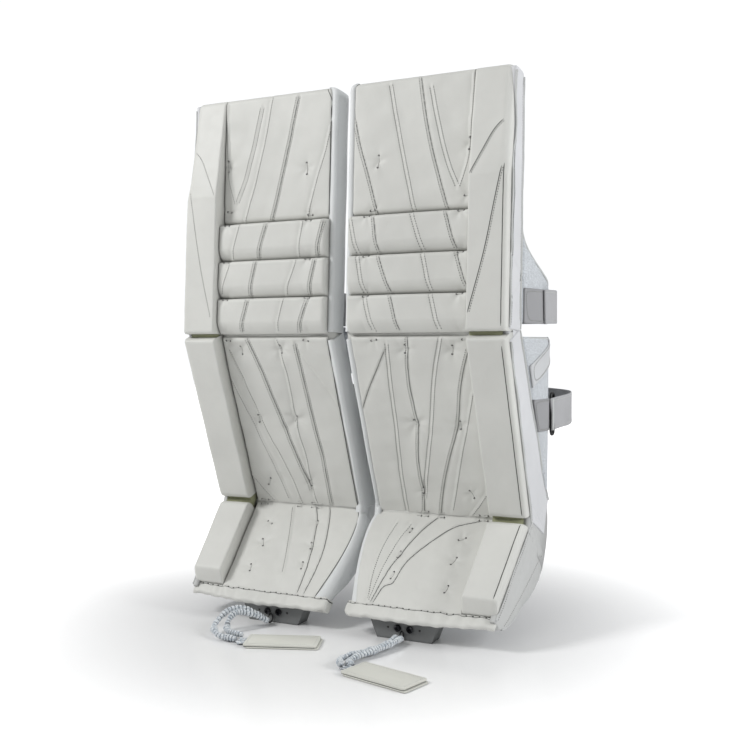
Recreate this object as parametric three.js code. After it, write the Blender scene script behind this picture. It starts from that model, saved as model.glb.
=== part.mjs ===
// A pair of ice-hockey goalie leg pads, standing side by side as they are worn.
// X runs across the pads, -Y is the front that faces the shooter, +Z is up, and z = 0 is the floor.
// Each pad is a thigh, a shin and a boot section, hinged at the knee and at the ankle.
// Both pads are built in one pad frame: x = 0 is the inner (medial) edge, x = PAD_WIDTH the outer edge, and
// y = 0 the face at the knee.
import * as THREE from "three";

const RAD = Math.PI / 180;

// Driving sizes, in millimetres and degrees.
const PAD_WIDTH = 279;
const PAD_GAP = 22;
const TOE_SEAM_Z = 50;
const THIGH = { length: 405, lean: 3.5 };
const SHIN = { length: 318, lean: -20.5 };
const BOOT = { length: 181, lean: 45 };
const TOE_INSET_INNER = 13;
const TOE_INSET_OUTER = 16;

const GAP = 0.4;
const FACE_T = 12;
const CORE_T = 31;
const WALL_T = 9.6;
const DEPTH = FACE_T + GAP + CORE_T;

const ROLL_WIDTH = 54;
const ROLL_PROUD = 25;
const ROLL_PROUD_TOP = 3;
const ROLL_LEVEL_TO = 250; // the thigh roll is level up to here, and then slopes down to the face's top
const ROLL_OUTER_X = PAD_WIDTH - WALL_T - GAP;
const ROLL_INNER_X = ROLL_OUTER_X - ROLL_WIDTH;

const KNEE_ROLLS = ["lower", "middle", "upper"];
const KNEE_ROLL_PITCH = 63;
const KNEE_ROLL_PROUD = 15;

const KNEE_CLOSE = 4; // half of the wedge left open in front of the knee hinge
const ANKLE_CLOSE = 7.5; // the same at the ankle, for the raised rolls
const FLAP = 22;

const WING_T = 9;
const STRAP_T = 3;
const KNEE_STRAP = { low: 492, high: 546 };
const CALF_STRAP = { low: 320, high: 372 };

const BRIDGE = { x: 108, top: 124, bottom: 93, high: 38, front: -11, depth: 32 };
const BOLT = {
  spacing: 21, z: 18, headR: 5.6, headT: 3, shankR: 3, length: 24, socketR: 2.6, socketDepth: 2,
};
const RING = { y: -20, z: 9, radius: 6, wire: 2.2 };
const CORD_R = 6.5;
const TAB = { length: 114, width: 54, thickness: 7 };

// The face's side profile in the pad frame, from the toe seam up.
function along(lean, length) {
  return new THREE.Vector2(Math.sin(lean * RAD), Math.cos(lean * RAD)).multiplyScalar(length);
}

const KNEE_TO_ANKLE = along(SHIN.lean, SHIN.length);
const ANKLE_TO_TOE = along(BOOT.lean, BOOT.length);
const TOE = new THREE.Vector2(-KNEE_TO_ANKLE.x - ANKLE_TO_TOE.x, TOE_SEAM_Z);
const ANKLE = TOE.clone().add(ANKLE_TO_TOE);
const KNEE = ANKLE.clone().add(KNEE_TO_ANKLE);

const KNEE_BEND = (THIGH.lean - SHIN.lean) / 2;
const ANKLE_HALF_ANGLE = (180 - (BOOT.lean - SHIN.lean)) / 2;

const MATERIALS = {
  face_leather: [0xe9e8e3, 0.42],
  roll_leather: [0xefeeea, 0.38],
  wall_leather: [0xdfe0e2, 0.45],
  foam: [0xb9b98a, 0.9],
  liner_mesh: [0xd9dce0, 0.85],
  strap_web: [0xc3c4c6, 0.7],
  bridge_plastic: [0x6d6f70, 0.5],
  bolt_steel: [0x24262a, 0.35, 0.8],
  cord_sleeve: [0xdde2e6, 0.8],
  black_plastic: [0x101012, 0.4],
  tab_leather: [0xe4e5e0, 0.5],
};

function piece(name, geometry, material) {
  const [color, roughness, metalness = 0] = MATERIALS[material];
  const mesh = new THREE.Mesh(geometry, new THREE.MeshStandardMaterial({ color, roughness, metalness }));
  mesh.name = name;
  return mesh;
}

// ---- Solids. A section's frame has X across the pad, Y up the section and Z out of its face. ----

function outline(points) {
  return new THREE.Shape(points.map(([a, b]) => new THREE.Vector2(a, b)));
}

function extrude(shape, depth, bevel, curveSegments = 3) {
  const geometry = new THREE.ExtrudeGeometry(shape, {
    depth: depth - 2 * bevel,
    bevelEnabled: bevel > 0,
    bevelSize: bevel,
    bevelThickness: bevel,
    bevelOffset: -bevel,
    bevelSegments: 2,
    curveSegments,
  });
  return geometry.translate(0, 0, bevel);
}

// A side profile of [height up the section, distance out of the face] pairs, run across from x0 to x1.
function across(profile, x0, x1, bevel = 0) {
  const shape = outline(profile.map(([s, n]) => [-n, s]));
  return extrude(shape, x1 - x0, bevel).rotateY(Math.PI / 2).translate(x0, 0, 0);
}

// A cross-section of [x, distance out of the face] pairs, run up the section from s0 to s1.
function upward(profile, s0, s1, bevel = 0) {
  const shape = outline(profile.map(([x, n]) => [x, -n]));
  return extrude(shape, s1 - s0, bevel).rotateX(-Math.PI / 2).translate(0, s0, 0);
}

// A closed sheet: surface(u, v) gives its outer side and inward(u, v) the unit direction of its thickness.
function sheet(surface, inward, thickness, uSegments, vSegments) {
  const positions = [];
  const index = [];
  const columns = vSegments + 1;
  const layer = (uSegments + 1) * columns;
  for (const offset of [0, thickness]) {
    for (let i = 0; i <= uSegments; i++) {
      for (let j = 0; j <= vSegments; j++) {
        const [u, v] = [i / uSegments, j / vSegments];
        positions.push(...surface(u, v).addScaledVector(inward(u, v), offset).toArray());
      }
    }
  }
  const at = (side, i, j) => side * layer + i * columns + j;
  const quad = (a, b, c, d) => index.push(a, b, c, a, c, d);
  for (let i = 0; i < uSegments; i++) {
    for (let j = 0; j < vSegments; j++) {
      quad(at(0, i, j), at(0, i + 1, j), at(0, i + 1, j + 1), at(0, i, j + 1));
      quad(at(1, i, j), at(1, i, j + 1), at(1, i + 1, j + 1), at(1, i + 1, j));
    }
    quad(at(0, i, 0), at(1, i, 0), at(1, i + 1, 0), at(0, i + 1, 0));
    quad(at(0, i, vSegments), at(0, i + 1, vSegments), at(1, i + 1, vSegments), at(1, i, vSegments));
  }
  for (let j = 0; j < vSegments; j++) {
    quad(at(0, 0, j), at(0, 0, j + 1), at(1, 0, j + 1), at(1, 0, j));
    quad(at(0, uSegments, j), at(1, uSegments, j), at(1, uSegments, j + 1), at(0, uSegments, j + 1));
  }
  const geometry = new THREE.BufferGeometry();
  geometry.setAttribute("position", new THREE.Float32BufferAttribute(positions, 3));
  geometry.setIndex(index);
  return geometry;
}

// An upright sheet. at(u, v) walks round the leg as u grows, with the leg on its left, and up as v grows.
function upright(at, thickness, uSegments, vSegments = 1) {
  const inward = (u, v) => {
    const along = at(Math.min(1, u + 0.01), v).sub(at(Math.max(0, u - 0.01), v));
    return new THREE.Vector3(-along.y, along.x, 0).normalize();
  };
  return sheet(at, inward, thickness, uSegments, vSegments);
}

// A strap: a band of one height on a plan curve.
function strap(points, { low, high }) {
  const curve = new THREE.CatmullRomCurve3(points.map(([x, y]) => new THREE.Vector3(x, y, 0)));
  const at = (u, v) => curve.getPointAt(u).setZ(THREE.MathUtils.lerp(low, high, v));
  return upright(at, STRAP_T, 24);
}

// ---- Section frames ----

function sectionFrame({ lean }, foot) {
  const frame = new THREE.Group();
  frame.position.set(0, foot.x, foot.y);
  frame.rotation.x = (90 - lean) * RAD;
  return frame;
}

// How far a section's end stands back from the knee line, at a distance n out of the face.
function kneeSetback(n) {
  return GAP / 2 - n * Math.tan(KNEE_BEND * RAD) + (n + DEPTH) * Math.tan(KNEE_CLOSE * RAD);
}

// How far a raised roll stops short of the ankle crease, to clear its neighbour when the boot flexes up.
function ankleSetback(n) {
  return 1.5 + Math.max(0, n) / Math.tan((ANKLE_HALF_ANGLE - ANKLE_CLOSE) * RAD);
}

// The boot narrows to the toe: every boot piece has its x values drawn in towards the toe seam.
function taperToToe(geometry) {
  const position = geometry.getAttribute("position");
  for (let i = 0; i < position.count; i++) {
    const toToe = THREE.MathUtils.clamp(1 - position.getY(i) / BOOT.length, 0, 1.12);
    const inner = TOE_INSET_INNER * toToe;
    const outer = PAD_WIDTH - TOE_INSET_OUTER * toToe;
    position.setX(i, THREE.MathUtils.lerp(inner, outer, position.getX(i) / PAD_WIDTH));
  }
  return geometry;
}

// y of the pad's flat back at a height z.
function backAt(z) {
  const lean = (z < KNEE.y ? SHIN : THIGH).lean * RAD;
  return (z - KNEE.y) * Math.tan(lean) + DEPTH / Math.cos(lean);
}

// ---- Thigh ----

function kneeRollProfile(index) {
  const low = index * KNEE_ROLL_PITCH + (index === 0 ? kneeSetback(0) : GAP);
  const high = (index + 1) * KNEE_ROLL_PITCH;
  const base = -FACE_T;
  const start = index === 0 ? kneeSetback(base) : low;
  const crown = 6;
  const arc = Array.from({ length: crown + 1 }, (_, i) => {
    const t = i / crown;
    const rise = Math.sin(Math.PI * (0.08 + 0.84 * t)) ** 0.5;
    return [THREE.MathUtils.lerp(high, low, t), KNEE_ROLL_PROUD * rise];
  });
  return [[start, base], [high, base], ...arc];
}

function makeThigh(add) {
  const top = THIGH.length;
  const rollsTop = KNEE_ROLLS.length * KNEE_ROLL_PITCH;
  const coreTop = -FACE_T - GAP;
  add("thigh_core", "foam", across(
    [[kneeSetback(coreTop), coreTop], [kneeSetback(-DEPTH), -DEPTH], [top - 3, -DEPTH], [top, -DEPTH + 6],
      [top, coreTop]],
    0, PAD_WIDTH - WALL_T - GAP, 3,
  ));
  add("thigh_face", "face_leather", across(
    [[rollsTop + GAP, -FACE_T], [top, -FACE_T], [top, -5], [top - 5, 0], [rollsTop + GAP, 0]],
    2, ROLL_INNER_X - GAP, 2,
  ));
  KNEE_ROLLS.forEach((name, index) => {
    add("knee_roll_" + name, "face_leather", across(kneeRollProfile(index), 2, ROLL_INNER_X - GAP, 2));
  });
  const rollBottom = kneeSetback(0) + 3;
  add("thigh_outer_roll", "roll_leather", across(
    [[rollBottom, -FACE_T], [top, -FACE_T], [top, 0], [top - 6, ROLL_PROUD_TOP], [ROLL_LEVEL_TO, ROLL_PROUD],
      [rollBottom + 6, ROLL_PROUD], [rollBottom, ROLL_PROUD - 6]],
    ROLL_INNER_X, ROLL_OUTER_X, 3,
  ));
  add("thigh_side_wall", "wall_leather", across(
    [[kneeSetback(-2), -2], [kneeSetback(-DEPTH), -DEPTH], [top - 3, -DEPTH], [top - 3, -2]],
    PAD_WIDTH - WALL_T, PAD_WIDTH, 2,
  ));
}

// ---- Shin ----

const SHIN_WALL_FOOT = [-5, -78]; // the lowest point of the side wall's straight back edge
const SHIN_WALL_HEEL = [-52, -46];

function makeShin(add) {
  const end = (n) => SHIN.length - kneeSetback(n);
  const coreTop = -FACE_T - GAP;
  add("shin_core", "foam", across(
    [[GAP, coreTop], [GAP, -DEPTH], [end(-DEPTH), -DEPTH], [end(coreTop), coreTop]],
    0, PAD_WIDTH - WALL_T - GAP, 3,
  ));
  add("shin_face", "face_leather", across(
    [[GAP, 0], [GAP, -FACE_T], [end(-FACE_T), -FACE_T], [end(0), 0]],
    2, ROLL_INNER_X - GAP, 2,
  ));
  add("shin_outer_roll", "roll_leather", across(
    [[ankleSetback(0), -FACE_T], [end(-FACE_T) - 3, -FACE_T], [end(0) - 3, ROLL_PROUD - 6],
      [end(0) - 9, ROLL_PROUD], [ankleSetback(ROLL_PROUD), ROLL_PROUD], [ankleSetback(0), 0]],
    ROLL_INNER_X, ROLL_OUTER_X, 3,
  ));
  add("shin_side_wall", "wall_leather", across(
    [[end(-2), -2], [GAP, -2], SHIN_WALL_HEEL, SHIN_WALL_FOOT, [end(-DEPTH), -DEPTH]],
    PAD_WIDTH - WALL_T, PAD_WIDTH, 2,
  ));
  const seat = -DEPTH - GAP;
  add("leg_channel", "liner_mesh", upward(
    [[58, seat], [222, seat], [218, seat - 20], [206, seat - 24], [192, seat - 18], [184, seat - 8],
      [96, seat - 8], [88, seat - 18], [74, seat - 24], [62, seat - 20]],
    30, 214, 2,
  ));
  add("knee_block", "liner_mesh", across(
    [[218, seat], [218, seat - 52], [226, seat - 60], [292, seat - 60], [300, seat - 52], [300, seat]],
    16, 88, 4,
  ));
}

// ---- Boot ----

function makeBoot(add) {
  const top = BOOT.length - GAP;
  const coreTop = -FACE_T - GAP;
  const addTapered = (name, material, geometry) => add(name, material, taperToToe(geometry));
  addTapered("boot_core", "foam", across(
    [[6, coreTop], [14, -30], [40, -DEPTH], [top, -DEPTH], [top, coreTop]],
    WALL_T + GAP, PAD_WIDTH - WALL_T - GAP, 3,
  ));
  addTapered("boot_face", "face_leather", across(
    [[-FLAP, -8], [-FLAP + 3, 0], [top, 0], [top, -FACE_T], [0, -FACE_T]],
    2, ROLL_INNER_X - GAP, 2,
  ));
  const rollTop = (n) => BOOT.length - ankleSetback(n);
  addTapered("boot_outer_roll", "roll_leather", across(
    [[-FLAP + 2, -8], [0, -FACE_T], [rollTop(0), -FACE_T], [rollTop(0), 0], [rollTop(ROLL_PROUD), ROLL_PROUD],
      [32, ROLL_PROUD], [6, 1], [-FLAP + 5, 0]],
    ROLL_INNER_X, ROLL_OUTER_X, 3,
  ));
  addTapered("boot_side_wall", "wall_leather", across(
    [[-FLAP, -6], [10, -30], [70, -66], [118, -90], [158, -92], [186, -76], [top, -2], [-FLAP + 3, -2]],
    PAD_WIDTH - WALL_T, PAD_WIDTH, 2,
  ));
  addTapered("boot_inner_wall", "wall_leather", across(
    [[0, -18], [60, -48], [120, -62], [165, -60], [top, -DEPTH], [top, coreTop], [0, coreTop]],
    0, WALL_T, 2,
  ));
}

// The toe bridge: a moulded block that the pad stands on, with two bolts through it.
function makeToeBridge(add) {
  const { x, top, bottom, high, front, depth } = BRIDGE;
  const plate = outline([[x - bottom / 2, 0], [x + bottom / 2, 0], [x + top / 2, high], [x - top / 2, high]]);
  const boltX = [x - BOLT.spacing / 2, x + BOLT.spacing / 2];
  for (const centre of boltX) {
    plate.holes.push(new THREE.Path().absarc(centre, BOLT.z, BOLT.shankR + 0.3, 0, 2 * Math.PI, true));
  }
  const block = extrude(plate, depth, 0, 8).rotateX(Math.PI / 2);
  add("toe_bridge", "bridge_plastic", block.translate(0, front + depth, 0));
  ["inner", "outer"].forEach((name, index) => {
    const { headR, headT, shankR, length, socketR, socketDepth } = BOLT;
    const profile = [[0, -length], [shankR, -length], [shankR, 0], [headR, 0], [headR, headT - 1],
      [headR - 1, headT], [socketR, headT], [socketR, headT - socketDepth], [0, headT - socketDepth]];
    const bolt = new THREE.LatheGeometry(profile.map(([r, y]) => new THREE.Vector2(r, y)), 16);
    bolt.rotateX(Math.PI).translate(boltX[index], front - GAP, BOLT.z);
    add("toe_bridge_bolt_" + name, "bolt_steel", bolt);
  });
}

// ---- Toe tie: a gathered elastic cord on a ring at the bridge, with a hook-and-loop tab at its end ----

const TIE_LEFT = {
  cord: [[107, -66, 9], [97, -102, 8], [83, -136, 8], [81, -160, 7.5], [91, -172, 7.5]],
  tabStart: [101, -172],
  tabTowards: [210, -200],
};
const TIE_RIGHT = {
  cord: [[132, -56, 22], [156, -80, 26], [158, -106, 12], [132, -124, 8], [98, -126, 7.5]],
  tabStart: [84, -128],
  tabTowards: [-26, -88],
};

function makeToeTie(add, tie) {
  const { y, z, radius, wire } = RING;
  const ring = new THREE.TorusGeometry(radius, wire, 6, 12).rotateY(Math.PI / 2).translate(BRIDGE.x, y, z);
  add("toe_tie_ring", "black_plastic", ring);
  const start = new THREE.Vector3(BRIDGE.x, y - radius - wire - 3, z);
  const path = new THREE.CatmullRomCurve3([start, ...tie.cord.map((p) => new THREE.Vector3(...p))]);
  const circle = new THREE.Shape().absarc(0, 0, CORD_R, 0, 2 * Math.PI, false);
  add("toe_tie_cord", "cord_sleeve", new THREE.ExtrudeGeometry(circle, {
    steps: 20, extrudePath: path, curveSegments: 8,
  }));

  const from = new THREE.Vector2(...tie.tabStart);
  const heading = new THREE.Vector2(...tie.tabTowards).sub(from).angle();
  const half = TAB.width / 2;
  const rectangle = outline([[0, -half], [TAB.length, -half], [TAB.length, half], [0, half]]);
  const tab = extrude(rectangle, TAB.thickness, 1);
  add("toe_tie_tab", "tab_leather", tab.rotateZ(heading).translate(from.x, from.y, 0));
}

// ---- Wings: padded flaps that wrap the leg, hinged on the back edges of the side walls ----

// A wing of the plan shape bend(u) = x, from its root line to its free edge, from low(u) up to high(u).
function wing(root, free, bend, low, high) {
  const at = (u, v) => {
    const z = THREE.MathUtils.lerp(low(u), high(u), v);
    return new THREE.Vector3(bend(u, z), THREE.MathUtils.lerp(root(z), free(z), u), z);
  };
  return at;
}

const KNEE_WING = { free: 196, low: 488, rise: 32, root: 643, drop: 82, out: 11, curl: 26 };
const CALF_WING = { free: 188, low: 216, high: 473, innerHigh: 350, out: 7, curl: 24 };

// How far a wing stands out of its root line: it swells over the leg, then curls in towards its free edge.
function swell(u, { out, curl }) {
  return out * Math.sin(Math.PI * Math.min(1, 0.8 * u)) - curl * (Math.max(0, u - 0.6) / 0.4) ** 2;
}

function makeKneeWing(add) {
  const root = (z) => backAt(z) + 2;
  const low = (u) => KNEE_WING.low + KNEE_WING.rise * u;
  const high = (u) => KNEE_WING.root - KNEE_WING.drop * u ** 0.6;
  const bend = (u) => PAD_WIDTH + swell(u, KNEE_WING);
  const at = wing(root, () => KNEE_WING.free, bend, low, high);
  add("knee_wing", "liner_mesh", upright(at, WING_T, 12, 3));
}

// The calf wings' root lines follow the back edges of the shin.
function shinPoint([s, n]) {
  const up = along(SHIN.lean, s);
  const out = new THREE.Vector2(-Math.cos(SHIN.lean * RAD), Math.sin(SHIN.lean * RAD)).multiplyScalar(n);
  return ANKLE.clone().add(up).add(out);
}

function makeCalfWings(add) {
  const { free, low, high, innerHigh } = CALF_WING;
  const foot = shinPoint(SHIN_WALL_FOOT);
  const head = shinPoint([SHIN.length - kneeSetback(-DEPTH), -DEPTH]);
  const wallBack = (z) => THREE.MathUtils.mapLinear(z, foot.y, head.y, foot.x, head.x);
  const share = (z) => (free - wallBack(z)) / (free - head.x);
  const bulge = (u, z) => share(z) * swell(u, CALF_WING);
  const outerRoot = (z) => wallBack(z) + 1.5;
  const outer = wing(outerRoot, () => free, (u, z) => PAD_WIDTH + bulge(u, z), () => low, () => high);
  add("calf_wing_outer", "liner_mesh", upright(outer, WING_T, 10, 6));
  const innerRoot = (z) => backAt(z) + 2;
  const inner = wing(() => free - 8, innerRoot, (u, z) => 4 - bulge(1 - u, z), () => low, () => innerHigh);
  add("calf_wing_inner", "liner_mesh", upright(inner, WING_T, 10, 4));
}

// ---- Straps ----

// Plan curves of [x, y] points, from the outer side of the leg round the back to the inner side.
const KNEE_STRAP_PATH = [
  [296, 118], [297, 150], [290, 188], [262, 222], [208, 240], [140, 243],
  [74, 230], [28, 194], [8, 140], [4, 90], [5, 52],
];
const CALF_STRAP_PATH = [
  [292, 184], [301, 216], [292, 250], [250, 272], [190, 282],
  [120, 280], [50, 258], [10, 214], [-5, 170], [-5, 132],
];
const LOOP = { x: 287.5, y: 174, width: 12, bar: 3.5, thickness: 4 };

function makeStraps(add) {
  add("knee_strap", "strap_web", strap(KNEE_STRAP_PATH, KNEE_STRAP));
  add("calf_strap", "strap_web", strap(CALF_STRAP_PATH, CALF_STRAP));
  const { x, y, width, bar, thickness } = LOOP;
  const [w, h] = [width / 2, (CALF_STRAP.high - CALF_STRAP.low) / 2 + 6];
  const frame = outline([[-w, -h], [w, -h], [w, h], [-w, h]]);
  const [holeW, holeH] = [w - bar, h - bar];
  frame.holes.push(outline([[-holeW, -holeH], [-holeW, holeH], [holeW, holeH], [holeW, -holeH]]));
  const loop = extrude(frame, thickness, 0.8).rotateX(Math.PI / 2).rotateZ(Math.PI / 2);
  add("calf_strap_loop", "black_plastic", loop.translate(x, y, (CALF_STRAP.low + CALF_STRAP.high) / 2));
}

// ---- One pad, in the pad frame ----

function makePad(side, tie) {
  const pad = new THREE.Group();
  const adder = (group) => (name, material, geometry) =>
    group.add(piece(name + "_" + side, geometry, material));
  const frames = [[THIGH, KNEE, makeThigh], [SHIN, ANKLE, makeShin], [BOOT, TOE, makeBoot]];
  for (const [section, foot, make] of frames) {
    const frame = sectionFrame(section, foot);
    make(adder(frame));
    pad.add(frame);
  }
  const add = adder(pad);
  makeToeBridge(add);
  makeToeTie(add, tie);
  makeKneeWing(add);
  makeCalfWings(add);
  makeStraps(add);
  return pad;
}

const pads = new THREE.Group();
const leftPad = makePad("left", TIE_LEFT);
leftPad.position.x = PAD_GAP / 2;
const rightPad = makePad("right", TIE_RIGHT);
rightPad.position.x = -PAD_GAP / 2;
rightPad.scale.x = -1;
pads.add(leftPad, rightPad);
// The pair is centred on x = y = 0.
const middle = new THREE.Box3().setFromObject(pads, true).getCenter(new THREE.Vector3());
pads.position.set(-middle.x, -middle.y, 0);

export default pads;
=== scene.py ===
"""A pair of ice hockey goalie leg pads: the looks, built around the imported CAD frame."""
import math

import bmesh
import bpy
import numpy as np
from mathutils import Euler, Matrix, Vector

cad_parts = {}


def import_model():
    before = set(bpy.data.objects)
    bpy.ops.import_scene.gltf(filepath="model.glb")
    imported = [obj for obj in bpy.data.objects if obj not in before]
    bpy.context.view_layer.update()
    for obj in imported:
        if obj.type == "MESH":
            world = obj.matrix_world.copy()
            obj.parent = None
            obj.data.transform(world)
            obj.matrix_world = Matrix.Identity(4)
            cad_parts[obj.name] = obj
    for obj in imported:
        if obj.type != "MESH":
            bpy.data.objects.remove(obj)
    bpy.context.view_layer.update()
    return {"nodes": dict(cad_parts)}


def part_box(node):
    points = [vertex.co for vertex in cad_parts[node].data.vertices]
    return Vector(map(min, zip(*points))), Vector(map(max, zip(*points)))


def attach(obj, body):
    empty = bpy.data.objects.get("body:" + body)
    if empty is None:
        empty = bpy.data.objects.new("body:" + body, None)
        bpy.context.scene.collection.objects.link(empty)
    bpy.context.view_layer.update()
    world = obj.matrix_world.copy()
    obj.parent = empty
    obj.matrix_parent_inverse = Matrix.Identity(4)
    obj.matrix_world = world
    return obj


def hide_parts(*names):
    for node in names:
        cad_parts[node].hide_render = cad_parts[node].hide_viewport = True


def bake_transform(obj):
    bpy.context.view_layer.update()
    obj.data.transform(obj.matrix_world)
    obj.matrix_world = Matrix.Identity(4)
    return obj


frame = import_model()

MM = 0.001
NODES = frame["nodes"]


# ---------------------------------------------------------------- materials

class Nodes:
    """A small helper that wires up one procedural material."""

    def __init__(self, name):
        self.material = bpy.data.materials.new(name)
        self.material.use_nodes = True
        self.tree = self.material.node_tree
        self.bsdf = self.tree.nodes["Principled BSDF"]
        self.place = self.add("ShaderNodeTexCoord").outputs["Object"]

    def add(self, kind, inputs=(), **settings):
        node = self.tree.nodes.new(kind)
        for key, value in settings.items():
            setattr(node, key, value)
        for key, value in dict(inputs).items():
            self.put(node.inputs[key], value)
        return node

    def put(self, socket, value):
        if isinstance(value, bpy.types.NodeSocket):
            self.tree.links.new(value, socket)
        else:
            socket.default_value = value

    def set(self, **inputs):
        names = {"color": "Base Color", "roughness": "Roughness", "metallic": "Metallic", "normal": "Normal",
                 "sheen": "Sheen Weight", "coat": "Coat Weight", "specular": "Specular IOR Level",
                 "coat_roughness": "Coat Roughness", "subsurface": "Subsurface Weight"}
        for key, value in inputs.items():
            self.put(self.bsdf.inputs[names[key]], value)

    def noise(self, scale, detail=3.0, rough=0.55):
        inputs = {"Vector": self.place, "Scale": scale, "Detail": detail, "Roughness": rough}
        return self.add("ShaderNodeTexNoise", inputs).outputs["Fac"]

    def cells(self, scale, place=None, **settings):
        inputs = {"Vector": place or self.place, "Scale": scale}
        return self.add("ShaderNodeTexVoronoi", inputs, **settings).outputs["Distance"]

    def ramp(self, value, low, high, to_low=0.0, to_high=1.0):
        return self.add("ShaderNodeMapRange", {"Value": value, "From Min": low, "From Max": high,
                                               "To Min": to_low, "To Max": to_high}).outputs["Result"]

    def math(self, operation, a, b=0.0):
        return self.add("ShaderNodeMath", {0: a, 1: b}, operation=operation).outputs[0]

    def mix(self, factor, a, b):
        node = self.add("ShaderNodeMix", data_type="RGBA")
        for socket, value in ((0, factor), (6, a), (7, b)):
            self.put(node.inputs[socket], value)
        return node.outputs[2]

    def bump(self, height, strength, distance, normal=None):
        inputs = {"Height": height, "Strength": strength, "Distance": distance}
        if normal:
            inputs["Normal"] = normal
        return self.add("ShaderNodeBump", inputs).outputs["Normal"]

    def crevice(self, distance):
        """1 in the open, lower in seams and folds."""
        return self.add("ShaderNodeAmbientOcclusion", {"Distance": distance}, samples=6).outputs["AO"]


def rgb(r, g, b):
    return (r, g, b, 1.0)


def tinted(color, factor):
    return rgb(*(c * factor for c in color[:3]))


SEAM_SHADE = 0.62  # how dark the painted shade in seams and folds is, as a share of the leather's own tone


def leather(name, color, roughness=0.46, grain=0.30):
    """Coated synthetic leather: fine pebble grain, uneven sheen, and painted shade that darkens its seams
    and folds.
    """
    m = Nodes(name)
    pebble = m.cells(900.0, feature="SMOOTH_F1")
    fine = m.noise(1500.0, 2.0)
    broad = m.noise(7.0, 4.0)
    mottle = m.noise(45.0, 5.0)
    color_here = m.mix(m.ramp(broad, 0.3, 0.7), tinted(color, 0.93), tinted(color, 1.03))
    color_here = m.mix(m.ramp(mottle, 0.45, 0.75, 0.0, 0.5), color_here, tinted(color, 0.95))
    # Painted shade: the colour darkens where ambient occlusion finds seams, folds and creases.
    color_here = m.mix(m.ramp(m.crevice(0.007), 0.25, 0.85), tinted(color, SEAM_SHADE), color_here)
    uneven = m.math("ADD", broad, m.math("MULTIPLY", mottle, 0.6))
    rough_here = m.ramp(uneven, 0.5, 1.1, roughness - 0.07, roughness + 0.09)
    soft = m.bump(m.noise(30.0, 3.0), 0.22, 0.0016)
    grained = m.bump(m.math("ADD", pebble, m.math("MULTIPLY", fine, 0.5)), grain, 0.00022, soft)
    m.set(color=color_here, roughness=rough_here, normal=grained, specular=0.27, sheen=0.06)
    return m.material


def lining(name, color, scale=520.0):
    """Brushed knit lining: a fuzzy mesh of small loops."""
    m = Nodes(name)
    warp = m.noise(260.0, 2.0)
    shift = m.add("ShaderNodeVectorMath", {0: warp, 3: 0.0012}, operation="SCALE").outputs[0]
    moved = m.add("ShaderNodeVectorMath", {0: m.place, 1: shift}, operation="ADD").outputs[0]
    loops = m.cells(scale, moved)
    fuzz = m.noise(900.0, 4.0, 0.7)
    broad = m.noise(14.0, 3.0)
    color_here = m.mix(m.ramp(loops, 0.1, 0.7), tinted(color, 0.62), tinted(color, 1.08))
    color_here = m.mix(m.ramp(broad, 0.35, 0.7, 0.0, 0.35), color_here, tinted(color, 0.85))
    height = m.math("ADD", loops, m.math("MULTIPLY", fuzz, 0.8))
    m.set(color=color_here, roughness=0.92, normal=m.bump(height, 0.75, 0.0009), sheen=0.35, specular=0.2)
    return m.material


def webbing(name, color):
    """Woven elastic: fine ribs along the strap, crossed by the weft."""
    m = Nodes(name)
    inputs = {"Vector": m.place, "Scale": 190.0, "Distortion": 0.4}
    ribs = m.add("ShaderNodeTexWave", inputs, bands_direction="Z").outputs["Fac"]
    weft = m.noise(1300.0, 2.0)
    broad = m.noise(22.0, 3.0)
    color_here = m.mix(m.ramp(broad, 0.35, 0.65), tinted(color, 0.94), tinted(color, 1.05))
    color_here = m.mix(m.ramp(ribs, 0.2, 0.9, 0.0, 0.22), color_here, tinted(color, 0.78))
    height = m.math("ADD", ribs, m.math("MULTIPLY", weft, 0.6))
    m.set(color=color_here, roughness=0.62, normal=m.bump(height, 0.3, 0.0004), sheen=0.2, specular=0.35)
    return m.material


def plastic(name, color, roughness=0.45):
    """Moulded plastic with a fine spark-eroded texture and rubbed, paler patches."""
    m = Nodes(name)
    grit = m.noise(1100.0, 3.0)
    broad = m.noise(26.0, 4.0)
    color_here = m.mix(m.ramp(broad, 0.4, 0.75, 0.0, 0.5), color, tinted(color, 1.35))
    # Painted shade: the colour darkens to half where ambient occlusion finds hollows and corners.
    color_here = m.mix(m.ramp(m.crevice(0.004), 0.3, 0.9), tinted(color, 0.5), color_here)
    m.set(color=color_here, roughness=m.ramp(broad, 0.3, 0.7, roughness - 0.08, roughness + 0.1),
          normal=m.bump(grit, 0.3, 0.00025))
    return m.material


def steel(name):
    """Black oxide steel, worn brighter in places."""
    m = Nodes(name)
    wear = m.ramp(m.noise(160.0, 4.0), 0.52, 0.72)
    m.set(color=m.mix(wear, rgb(0.018, 0.019, 0.022), rgb(0.16, 0.16, 0.17)), metallic=0.9,
          roughness=m.ramp(wear, 0.0, 1.0, 0.42, 0.26), normal=m.bump(m.noise(700.0), 0.15, 0.0001))
    return m.material


def cloth_sleeve(name):
    """Thin woven fabric gathered over elastic: pale with blue-grey streaks, and painted shade, nearly black,
    deep in its folds.
    """
    m = Nodes(name)
    weave = m.cells(650.0)
    streak = m.noise(260.0, 3.0)
    color_here = m.mix(m.ramp(streak, 0.40, 0.56), rgb(0.46, 0.51, 0.56), rgb(0.76, 0.79, 0.81))
    # Painted shade: nearly black blue where ambient occlusion finds the sleeve's folds.
    color_here = m.mix(m.ramp(m.crevice(0.0045), 0.35, 0.95), rgb(0.045, 0.06, 0.085), color_here)
    m.set(color=color_here, roughness=0.8, normal=m.bump(weave, 0.5, 0.0005), sheen=0.25)
    return m.material


def plain(name, color):
    """Small parts, such as thread: one colour with a slight fleck."""
    m = Nodes(name)
    m.set(color=m.mix(m.noise(400.0), tinted(color, 0.85), tinted(color, 1.1)), roughness=0.6)
    return m.material


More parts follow.
